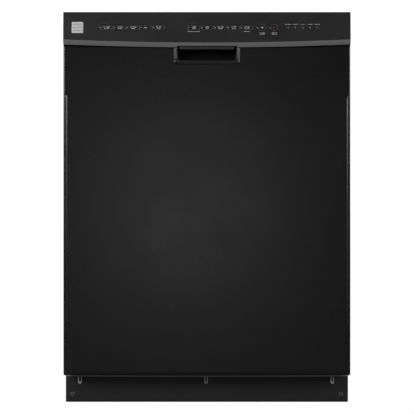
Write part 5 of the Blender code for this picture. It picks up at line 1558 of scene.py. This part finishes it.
class DISHWASHER_OT_wash_system(PieceOperator, bpy.types.Operator):
    """Spray arms, feed tube, heater, float, filter, sump, pumps and inlet valve"""

    bl_idname = "dishwasher.wash_system"
    bl_label = "Wash system"

    def make(self, sizes):
        self.arm("lower_spray_arm", [0.060, 0.095, 0.128, 0.160, 0.188, 0.206])
        self.arm("upper_spray_arm", [0.050, 0.085, 0.118, 0.148, 0.172, 0.188])
        self.feed()
        self.heater()
        self.float_dome()
        self.filter_and_sump()
        self.pumps()
        self.valve()

    def arm(self, node, nozzles):
        """A blade whose half width runs from 21 mm at the hub to 12.6 mm, with round ends, and whose
        section is
        a flattened ellipse that thins outwards. Nozzles stand on it, alternately left and right of its
        middle."""
        low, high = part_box(node)
        centre = between(node)
        reach, thick = high.x, 0.0085
        base = low.z + 0.006
        a = np.linspace(-1, 1, 91)
        x = reach * np.sin(a * math.pi / 2)
        share = np.abs(x) / reach
        width = 0.021 + (0.0126 - 0.021) * share
        end = np.clip((np.abs(x) - reach + 0.0126) / 0.0126, 0, 1)
        taper = np.sqrt(np.clip(1 - end**2, 0, 1))
        t = np.arange(32) * 2 * math.pi / 32
        c, s = np.cos(t), np.sin(t)
        flat_c, flat_s = np.sign(c) * np.abs(c) ** 0.75, np.sign(s) * np.abs(s) ** 0.75
        y = (width * taper)[:, None] * flat_c
        z = (thick / 2 * (1 - 0.30 * share) * np.sqrt(taper))[:, None] * flat_s
        z -= 0.0010 * np.exp(-((y / 0.0035) ** 2)) * (flat_s > 0)[None] * (1 - share[:, None])
        points = np.stack([np.repeat(x[:, None], 32, 1), y, z + thick / 2], -1)
        blade = grid(points, wrap_cols=True)
        r = 0.026
        hub = turned(
            [
                (0, 0.0112), (r * 0.30, 0.0112), (r * 0.36, 0.0096), (r * 0.55, 0.0100), (r * 0.80, 0.0108),
                (r * 0.92, 0.0100), (r, 0.0082), (r, -0.002), (r * 0.86, -0.0060), (0, -0.0060)
            ],
            48
        )
        nozzle = turned(
            [
                (0, 0.0002), (0.0020, 0.0002), (0.0026, 0.0012), (0.0036, 0.0012), (0.0044, 0.0002),
                (0.0046, -0.002), (0, -0.002)
            ],
            20
        )
        spots = [(way * at, (1 if i % 2 else -1) * way * 0.0058, thick * (1 - 0.22 * at / reach) - 0.0003)
                 for i, at in enumerate(nozzles) for way in (-1, 1)]
        shells = [blade, hub, repeated(nozzle, spots)]
        make_piece(
            f"{node}_blade", [placed(joined(shells), (0, centre[1], base))], "arm_moulding", node,
            [node]
        )

    def feed(self):
        """The pipe up the back wall and along the ceiling, with clips and the turned top nozzle."""
        low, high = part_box("feed_tube")
        back, top = high.y - 0.009, TUB_TOP_Z - TUB_WALL - 0.016
        line = bent([(0, back, low.z + 0.001), (0, back, top), (0, SPRAY[1], top)], 0.034, 12)
        line = np.concatenate([evenly(line, 60)])
        pipe = tube(line, 0.0088, (1, 0, 0), 24)
        rings = [(z, 0.0104) for z in (0.22, 0.44, 0.66)]
        collars = [
            placed(
                turned(
                    [
                        (0, 0.006), (r, 0.006), (r + 0.0008, 0.004), (r + 0.0008, -0.004), (r, -0.006),
                        (0, -0.006)
                    ],
                    28
                ),
                (0, back, z)
            )
            for z, r in rings
        ]
        nozzle = turned(
            [
                (0, -0.014), (0.006, -0.0138), (0.010, -0.0120), (0.019, -0.0110), (0.0215, -0.0085),
                (0.022, -0.004), (0.019, 0.001), (0.012, 0.004), (0, 0.004)
            ],
            40
        )
        holes = repeated(
            turned(
                [(0, -0.0132), (0.0014, -0.0130), (0.0022, -0.0118), (0.0024, -0.0100), (0, -0.0098)], 14
            ),
            [(0.0145 * math.cos(a), 0.0145 * math.sin(a), 0.0006) for a in np.arange(8) * math.pi / 4]
        )
        shells = [pipe, *collars, placed(nozzle, (0, SPRAY[1], top)), placed(holes, (0, SPRAY[1], top))]
        make_piece("feed_pipe", shells, "arm_moulding", "root", ["feed_tube"])

    def heater(self):
        """The heating loop, a wire round a circle, with three bent steel feet."""
        low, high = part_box("heating_element")
        r, z = high.x - 0.004, (low.z + high.z) / 2
        angle = np.linspace(0, 2 * math.pi, 160, endpoint=False)
        path = np.column_stack([r * np.cos(angle), SPRAY[1] + r * np.sin(angle), np.full(160, z)])
        make_piece(
            "heater_loop", [tube(path, 0.0038, (0, 0, 1), 14, True)], "heater_steel", "root",
            ["heating_element"]
        )
        shells = []
        for a in (0.6, 2.7, 4.7):
            x, y = r * math.cos(a), SPRAY[1] + r * math.sin(a)
            line = bent(
                [
                    (x - 0.010, y, TUB_FLOOR_Z + 0.0010), (x - 0.0055, y, TUB_FLOOR_Z + 0.0010),
                    (x - 0.0050, y, z + 0.0050), (x + 0.0050, y, z + 0.0050),
                    (x + 0.0055, y, TUB_FLOOR_Z + 0.0010), (x + 0.010, y, TUB_FLOOR_Z + 0.0010)
                ],
                0.0022, 4
            )
            shells.append(tube(line, 0.0010, (0, 1, 0), 8))
        make_piece("heater_feet", shells, "stainless_steel", "root")

    def float_dome(self):
        low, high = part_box("float")
        centre = between("float")
        r, h = (high.x - low.x) / 2, high.z - low.z
        turn = np.linspace(0, math.pi / 2, 9)
        dome = [(r * math.sin(a), h - 0.008 * (1 - math.cos(a))) for a in turn]
        profile = [*dome, (r, 0.004), (r - 0.0006, 0.003), (r - 0.0006, 0.0), (0, 0)]
        profile[0] = (0, h)
        spokes = [
            placed(slab(0.0012, r * 0.7, 0.0008, 0.0004, 0.0010), (0, 0, h + 0.0001), spun(a))
            for a in (0, math.pi / 2)
        ]
        shells = [placed(joined([turned(profile, 44), *spokes]), (centre[0], centre[1], low.z))]
        make_piece("float_dome", shells, "arm_moulding", "float", ["float"])

    def filter_and_sump(self):
        """The filter cup's mesh wall, holes left in a turned sheet, with its twist grip; and the sump's
        bowl."""
        low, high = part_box("filter_cup")
        place = (0, SPRAY[1], 0)
        rows, sides, r = 40, 132, 0.0415
        z = np.linspace(low.z + 0.002, high.z - 0.004, rows)
        angle = np.arange(sides) * 2 * math.pi / sides
        points = np.stack(
            [np.column_stack([r * np.cos(angle), r * np.sin(angle), np.full(sides, h)]) for h in z]
        )
        i, j = np.meshgrid(np.arange(rows - 1), np.arange(sides), indexing="ij")
        wall = grid(points, wrap_cols=True, keep=(i % 3 == 0) | (j % 3 == 0) | (i > rows - 8))
        make_piece(
            "filter_mesh", [placed(wall, place)], "stainless_steel", "root", (), False,
            wall=0.0008
        )
        top = high.z
        rim = turned(
            [
                (r - 0.003, top - 0.004), (r - 0.003, top - 0.0005), (r - 0.002, top), (r + 0.002, top),
                (r + 0.0034, top - 0.001), (r + 0.0034, top - 0.004), (r - 0.003, top - 0.004)
            ],
            64
        )
        floor = turned([(0, low.z + 0.003), (r, low.z + 0.003), (r, low.z), (0, low.z)], 48)
        bars = [
            placed(slab(r - 0.002, 0.0022, 0.0015, 0.0008, 0.006), (0, 0, top - 0.0008), spun(a))
            for a in (0.4, 0.4 + math.pi / 2)
        ]
        post = turned(
            [
                (0, top + 0.0005), (0.006, top + 0.0002), (0.0075, top - 0.002), (0.0075, low.z + 0.003),
                (0, low.z + 0.003)
            ],
            28
        )
        make_piece(
            "filter_cup_frame", [placed(joined([rim, floor, *bars, post]), place)], "dispenser_moulding",
            "root", ["filter_cup"]
        )
        low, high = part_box("sump_housing")
        r, bottom, top = 0.083, low.z, high.z
        profile = [
            (0, bottom + 0.003), (r - 0.017, bottom + 0.003), (r - 0.0135, bottom + 0.006),
            (r - 0.003, top - 0.001), (r - 0.003, top), (0.0995, top), (0.100, top - 0.0005),
            (0.100, top - 0.003), (r + 0.0015, top - 0.003), (r, top - 0.005), (r - 0.010, bottom + 0.003),
            (r - 0.013, bottom), (0, bottom)
        ]
        shells = [turned(profile, 96)]
        fin = slab(0.0100, 0.0012, 0.0008, 0.0004, 0.0300)
        for a in np.arange(10) * math.pi / 5 + 0.3:
            turn = spun(a)
            shells.append(placed(fin, (0.0865 * math.cos(a), 0.0865 * math.sin(a), top - 0.0035), turn))
        make_piece(
            "sump_bowl", [placed(joined(shells), place)], "dark_moulding", "root",
            ["sump_housing"]
        )

    def pumps(self):
        """Each pump: a ribbed can turned about x, its cap, its neck, and a copper-wound stator band."""
        for node, side, axes in (("wash_pump", 1, RIGHT), ("drain_pump", -1, LEFT)):
            low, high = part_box(node)
            centre = between(node)
            r = (high.z - low.z) / 2
            inner = 0.101
            length = max(abs(low.x), abs(high.x)) - inner
            neck = 0.38 * r
            profile = [
                (0, length), (r * 0.55, length), (r * 0.80, length - 0.0015), (r * 0.93, length - 0.006),
                (r * 0.93, length - 0.012), (r, length - 0.013), (r, length * 0.62),
                (r * 0.90, length * 0.60), (r * 0.90, length * 0.30), (r, length * 0.28), (r, 0.008),
                (r * 0.90, 0.002), (r * 0.80, 0.0), (neck, 0.0), (neck, -0.020), (0, -0.020)
            ]
            shells = [turned(profile, 56)]
            angles = np.arange(12) * math.pi / 6
            rib = slab(0.0012, length * 0.20, 0.0008, 0.0004, 0.003)
            for a in angles:
                turn = np.array([[-math.sin(a), math.cos(a), 0], [0, 0, 1.0], [math.cos(a), math.sin(a), 0]])
                shells.append(placed(rib, (r * math.cos(a), r * math.sin(a), length * 0.80 - 0.006), turn))
            place = (side * inner, centre[1], centre[2])
            make_piece(
                f"{node}_body", [placed(joined(shells), place, axes)], "dark_moulding", "root",
                [node]
            )
            band = turned(
                [
                    (r * 0.905, length * 0.31), (r * 0.955, length * 0.33), (r * 0.955, length * 0.57),
                    (r * 0.905, length * 0.59), (r * 0.905, length * 0.31)
                ],
                56
            )
            make_piece(f"{node}_winding", [placed(band, place, axes)], "copper_wire", "root")

    def valve(self):
        """The inlet valve: a body block, the coil on top, and the threaded stub, its radius waved along
        its length."""
        low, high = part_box("inlet_valve")
        centre = between("inlet_valve")
        back = low.y + 0.040
        body = placed(slab(0.025, 0.013, 0.005, 0.002, 0.040), (centre[0], back, low.z + 0.016), BACK)
        coil = placed(
            turned(
                [(0, 0.028), (0.010, 0.028), (0.013, 0.026), (0.013, 0.002), (0.015, 0.0), (0, 0.0)], 36
            ),
            (centre[0], centre[1] - 0.014, low.z + 0.0265)
        )
        along = np.linspace(0, high.y - back, 60)
        thread = 0.0112 + 0.0008 * np.cos(along * 2 * math.pi / 0.0025)
        profile = np.column_stack(
            [
                np.concatenate([[0.0], thread, [0.0080, 0.0080, 0.0]]),
                np.concatenate([[0.0], along, [along[-1], along[-1] - 0.012, along[-1] - 0.012]])
            ]
        )
        stub = placed(turned(profile, 40), (centre[0], back, low.z + 0.018), BACK)
        make_piece(
            "inlet_valve_body", [body, coil, stub], "dark_moulding", "root",
            ["inlet_valve"]
        )


class DISHWASHER_OT_base(PieceOperator, bpy.types.Operator):
    """Levelling feet with threads, balance springs, the junction box, board parts and fasteners"""

    bl_idname = "dishwasher.base"
    bl_label = "Base and fasteners"

    def make(self, sizes):
        for end in ("front", "rear"):
            for word in ("left", "right"):
                self.foot(f"foot_{end}_{word}")
        self.springs()
        self.junction_box()
        self.board_parts()
        self.fasteners()

    def foot(self, node):
        """A padded foot: a ribbed turned pad, a hexagonal collar and a stud whose radius waves as a
        thread."""
        low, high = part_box(node)
        centre = between(node)
        pad, stud = (high.x - low.x) / 2, 0.0050
        along = np.linspace(0.0135, high.z - 0.001, 120)
        thread = stud - 0.00045 * (0.5 - 0.5 * np.cos(along * 2 * math.pi / 0.00150))
        lower = [
            (0, 0), (pad - 0.001, 0), (pad, 0.001), (pad, 0.0044), (pad * 0.94, 0.0056),
            (pad * 0.80, 0.0068), (pad * 0.74, 0.0080), (stud, 0.0080)
        ]
        profile = np.concatenate(
            [lower, np.column_stack([thread, along]), [(stud * 0.7, high.z), (0, high.z)]]
        )
        nut = turned(
            [
                (0, 0.0136), (0.0092, 0.0136), (0.0100, 0.0130), (0.0100, 0.0086), (0.0092, 0.0080),
                (0, 0.0080)
            ],
            6
        )
        shells = [
            placed(turned(profile, 24), (centre[0], centre[1], low.z)),
            placed(nut, (centre[0], centre[1], low.z))
        ]
        make_piece(f"{node}_pad", shells, "dark_moulding", node, [node], sharp=30)

    def springs(self):
        """Each spring: a helix of 22 turns with a hook at both ends."""
        for word, side in (("left", -1), ("right", 1)):
            low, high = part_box(f"hinge_spring_{word}")
            centre = between(f"hinge_spring_{word}")
            coil = (high.x - low.x) / 2 - 0.0014
            a = np.linspace(0, 1, 22 * 24)
            turn = a * 2 * math.pi * 22
            path = np.column_stack(
                [
                    centre[0] + coil * np.cos(turn), low.y + 0.006 + (high.y - low.y - 0.012) * a,
                    centre[2] + coil * np.sin(turn)
                ]
            )
            shells = [tube(path, 0.0013, (0, 1, 0), 8)]
            for y, way in ((low.y + 0.006, -1), (high.y - 0.006, 1)):
                t = np.linspace(-0.5, 1.1, 18) * math.pi
                hook = np.column_stack(
                    [
                        np.full(18, centre[0]), y + way * (0.0035 + 0.0050 * np.sin(t)),
                        centre[2] + 0.0050 * np.cos(t)
                    ]
                )
                shells.append(tube(hook, 0.0013, (1, 0, 0), 8))
            make_piece(
                f"balance_spring_{word}", shells, "spring_steel", "root",
                [f"hinge_spring_{word}"]
            )

    def junction_box(self):
        """A pressed box with a lipped lid and a round knockout."""
        low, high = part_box("junction_box")
        centre = between("junction_box")
        half_x, half_z = (high.x - low.x) / 2, (high.z - low.z) / 2
        case = placed(
            slab(half_x - 0.001, half_z - 0.001, 0.003, 0.0010, high.y - low.y - 0.001),
            (centre[0], low.y + 0.0012, centre[2]), FRONT
        )
        lid = placed(slab(half_x, half_z, 0.004, 0.0008, 0.0030), (centre[0], low.y, centre[2]), FRONT)
        knockout = placed(
            turned([(0, 0.0004), (0.010, 0.0004), (0.0108, 0.0), (0.0112, -0.0004), (0, -0.0004)], 32),
            (centre[0], low.y, centre[2]), FRONT
        )
        make_piece(
            "junction_box_shell", [case, lid, knockout], "zinc_plate", "root",
            ["junction_box"]
        )

    def board_parts(self):
        """Chips and capacitors on the control board, placed by a seeded draw."""
        low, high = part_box("control_board")
        draw = np.random.default_rng(11)
        shells = []
        for x in np.linspace(low.x + 0.03, high.x - 0.03, 12):
            half_u, half_v = draw.uniform(0.004, 0.010), draw.uniform(0.003, 0.007)
            z = draw.uniform(low.z + 0.009, high.z - 0.009)
            shells.append(placed(slab(half_u, half_v, 0.0008, 0.0004, 0.0024), (x, high.y + 0.0022, z), BACK))
        can = turned([(0, 0.009), (0.0030, 0.009), (0.0036, 0.0082), (0.0036, 0.0), (0, 0.0)], 20)
        spots = zip(
            np.linspace(low.x + 0.05, high.x - 0.05, 5), draw.uniform(low.z + 0.006, high.z - 0.006, 5)
        )
        shells += [placed(can, (x, high.y, z), BACK) for x, z in spots]
        make_piece("board_parts", shells, "chip_resin", "door")

    def fasteners(self):
        """Washer-headed screws on the rails, brackets and crossmember, and the hinge pins' rivet heads."""
        head = turned(
            [
                (0, 0.0016), (0.0022, 0.0020), (0.0034, 0.0016), (0.0040, 0.0006), (0.0056, 0.0005),
                (0.0058, 0.0), (0, -0.0003)
            ],
            20
        )
        rail = HALF - 0.0042
        shells = []
        for side, axes in ((-1, LEFT), (1, RIGHT)):
            shells += [placed(head, (side * rail, y, 0.135), axes) for y in (-0.19, 0.0, 0.19)]
            shells += [placed(head, (side * (rail - 0.030), HIGH.y - 0.006, z), BACK) for z in (0.030, 0.048)]
            shells += [placed(head, (side * 0.2, -0.2135, 0.8305), UP)]
        make_piece("rail_screws", shells, "spring_steel", "root")
        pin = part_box("hinge_arm_right")[1].x
        rivet = turned([(0, 0.0018), (0.0040, 0.0014), (0.0060, 0.0004), (0.0062, 0.0), (0, -0.0004)], 24)
        places = [(-1, LEFT), (1, RIGHT)]
        shells = [placed(rivet, (side * (pin + 0.0002), HINGE_Y, HINGE_Z), axes) for side, axes in places]
        make_piece("hinge_rivets", shells, "spring_steel", "door")


# Pieces that stay as the frame has them


class DISHWASHER_OT_frame_finishes(PieceOperator, bpy.types.Operator):
    """Finishes for the frame's own pieces that stay in sight"""

    bl_idname = "dishwasher.frame_finishes"
    bl_label = "Frame finishes"

    def make(self, sizes):
        for name, nodes in FRAME_FINISHES.items():
            for node in nodes:
                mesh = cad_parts[node].data
                mesh.materials.clear()
                mesh.materials.append(finish(name))


# Stage


class DISHWASHER_OT_stage(PieceOperator, bpy.types.Operator):
    """A pale floor, soft studio lamps and the camera"""

    bl_idname = "dishwasher.stage"
    bl_label = "Stage"

    def make(self, sizes):
        self.floor()
        self.lamp("lamp_front", (-0.10, -3.75, 0.44), (-0.02, 0, 0.42), 0.58, 2.1)
        self.lamp("lamp_left", (-2.6, -2.4, 1.6), (0, 0, 0.45), 1.4, 88.0)
        self.lamp("lamp_right", (2.7, -2.2, 1.5), (0, 0, 0.45), 1.4, 58.0)
        self.lamp("lamp_top", (0, 2.2, 2.8), (0, 0, 0.4), 1.6, 60.0)
        self.lamp("lamp_back", (0.6, 3.2, 1.2), (0, 0, 0.4), 1.6, 60.0)
        self.world()
        self.camera()

    def floor(self):
        """A flat floor that is white to the eye and mid grey to what reflects it."""
        span = np.linspace(-30, 30, 7)
        x, y = np.meshgrid(span, span, indexing="ij")
        points, quads = grid(np.stack([x, y, np.full_like(x, -0.0004)], -1))
        mesh = bpy.data.meshes.new("floor")
        mesh.from_pydata(points.tolist(), [], quads.tolist())
        material = finish("floor_white")
        tree = material.node_tree
        shader = tree.nodes["Principled BSDF"]
        glow = tree.nodes.new("ShaderNodeEmission")
        rays = tree.nodes.new("ShaderNodeLightPath")
        mix = tree.nodes.new("ShaderNodeMixShader")
        tree.links.new(rays.outputs["Is Camera Ray"], mix.inputs["Fac"])
        tree.links.new(shader.outputs[0], mix.inputs[1])
        tree.links.new(glow.outputs[0], mix.inputs[2])
        tree.links.new(mix.outputs[0], tree.nodes["Material Output"].inputs["Surface"])
        mesh.materials.append(material)
        obj = bpy.data.objects.new("floor", mesh)
        bpy.context.scene.collection.objects.link(obj)

    def lamp(self, name, place, target, size, watts):
        data = bpy.data.lights.new(name, "AREA")
        data.shape = "SQUARE"
        data.size = size
        data.energy = watts
        obj = bpy.data.objects.new(name, data)
        obj.location = place
        obj.rotation_euler = (Vector(target) - Vector(place)).to_track_quat("-Z", "Y").to_euler()
        bpy.context.scene.collection.objects.link(obj)

    def world(self):
        """White behind the object, and a dim room for what its surfaces reflect."""
        scene = bpy.context.scene
        scene.view_settings.view_transform = "Standard"
        world = bpy.data.worlds.new("studio")
        scene.world = world
        world.use_nodes = True
        tree = world.node_tree
        seen = tree.nodes["Background"]
        room = tree.nodes.new("ShaderNodeBackground")
        room.inputs["Color"].default_value = (1, 1, 1, 1)
        room.inputs["Strength"].default_value = ROOM_LIGHT
        seen.inputs["Color"].default_value = (1, 1, 1, 1)
        seen.inputs["Strength"].default_value = 1.05
        rays = tree.nodes.new("ShaderNodeLightPath")
        mix = tree.nodes.new("ShaderNodeMixShader")
        tree.links.new(rays.outputs["Is Camera Ray"], mix.inputs["Fac"])
        tree.links.new(room.outputs[0], mix.inputs[1])
        tree.links.new(seen.outputs[0], mix.inputs[2])
        tree.links.new(mix.outputs[0], tree.nodes["World Output"].inputs["Surface"])

    def camera(self):
        """Level with the middle of the door, 3.5 m in front of it."""
        data = bpy.data.cameras.new("camera")
        data.sensor_width = 36.0
        data.lens = CAMERA_DISTANCE * data.sensor_width / 1000 / FRAME_WIDTH * 1000
        obj = bpy.data.objects.new("camera", data)
        obj.location = (0.0002, PANEL_LOW.y - CAMERA_DISTANCE, CAMERA_Z)
        obj.rotation_euler = (math.pi / 2, 0, 0)
        bpy.context.scene.collection.objects.link(obj)
        bpy.context.scene.camera = obj


CAMERA_DISTANCE = 3.5
CAMERA_Z = 0.4203
FRAME_WIDTH = 0.8744
ROOM_LIGHT = 0.05


class DISHWASHER_PT_panel(bpy.types.Panel):
    """Lists the operators, with the sizes and colours that they read"""

    bl_label = "Dishwasher"
    bl_idname = "DISHWASHER_PT_panel"
    bl_space_type = "VIEW_3D"
    bl_region_type = "UI"
    bl_category = "Dishwasher"

    def draw(self, context):
        for operator in OPERATORS:
            self.layout.operator(operator.bl_idname)
        for settings in (context.scene.dishwasher_sizes, context.scene.dishwasher_colours):
            column = self.layout.column()
            for name in type(settings).__annotations__:
                column.prop(settings, name)


OPERATORS = (
    DISHWASHER_OT_frame_finishes, DISHWASHER_OT_console, DISHWASHER_OT_keys, DISHWASHER_OT_badge_and_lights,
    DISHWASHER_OT_door_skin, DISHWASHER_OT_pocket, DISHWASHER_OT_toe_panel, DISHWASHER_OT_door_liner,
    DISHWASHER_OT_dispenser, DISHWASHER_OT_tub, DISHWASHER_OT_blanket, DISHWASHER_OT_racks,
    DISHWASHER_OT_wash_system, DISHWASHER_OT_base, DISHWASHER_OT_stage
)
CLASSES = (DishwasherColours, DishwasherSizes, *OPERATORS, DISHWASHER_PT_panel)


def register():
    for cls in CLASSES:
        bpy.utils.register_class(cls)
    bpy.types.Scene.dishwasher_colours = PointerProperty(type=DishwasherColours)
    bpy.types.Scene.dishwasher_sizes = PointerProperty(type=DishwasherSizes)


def unregister():
    del bpy.types.Scene.dishwasher_sizes
    del bpy.types.Scene.dishwasher_colours
    for cls in reversed(CLASSES):
        bpy.utils.unregister_class(cls)


def main():
    register()
    for operator in OPERATORS:
        group, name = operator.bl_idname.split(".")
        getattr(getattr(bpy.ops, group), name)()


if __name__ == "__main__":
    main()
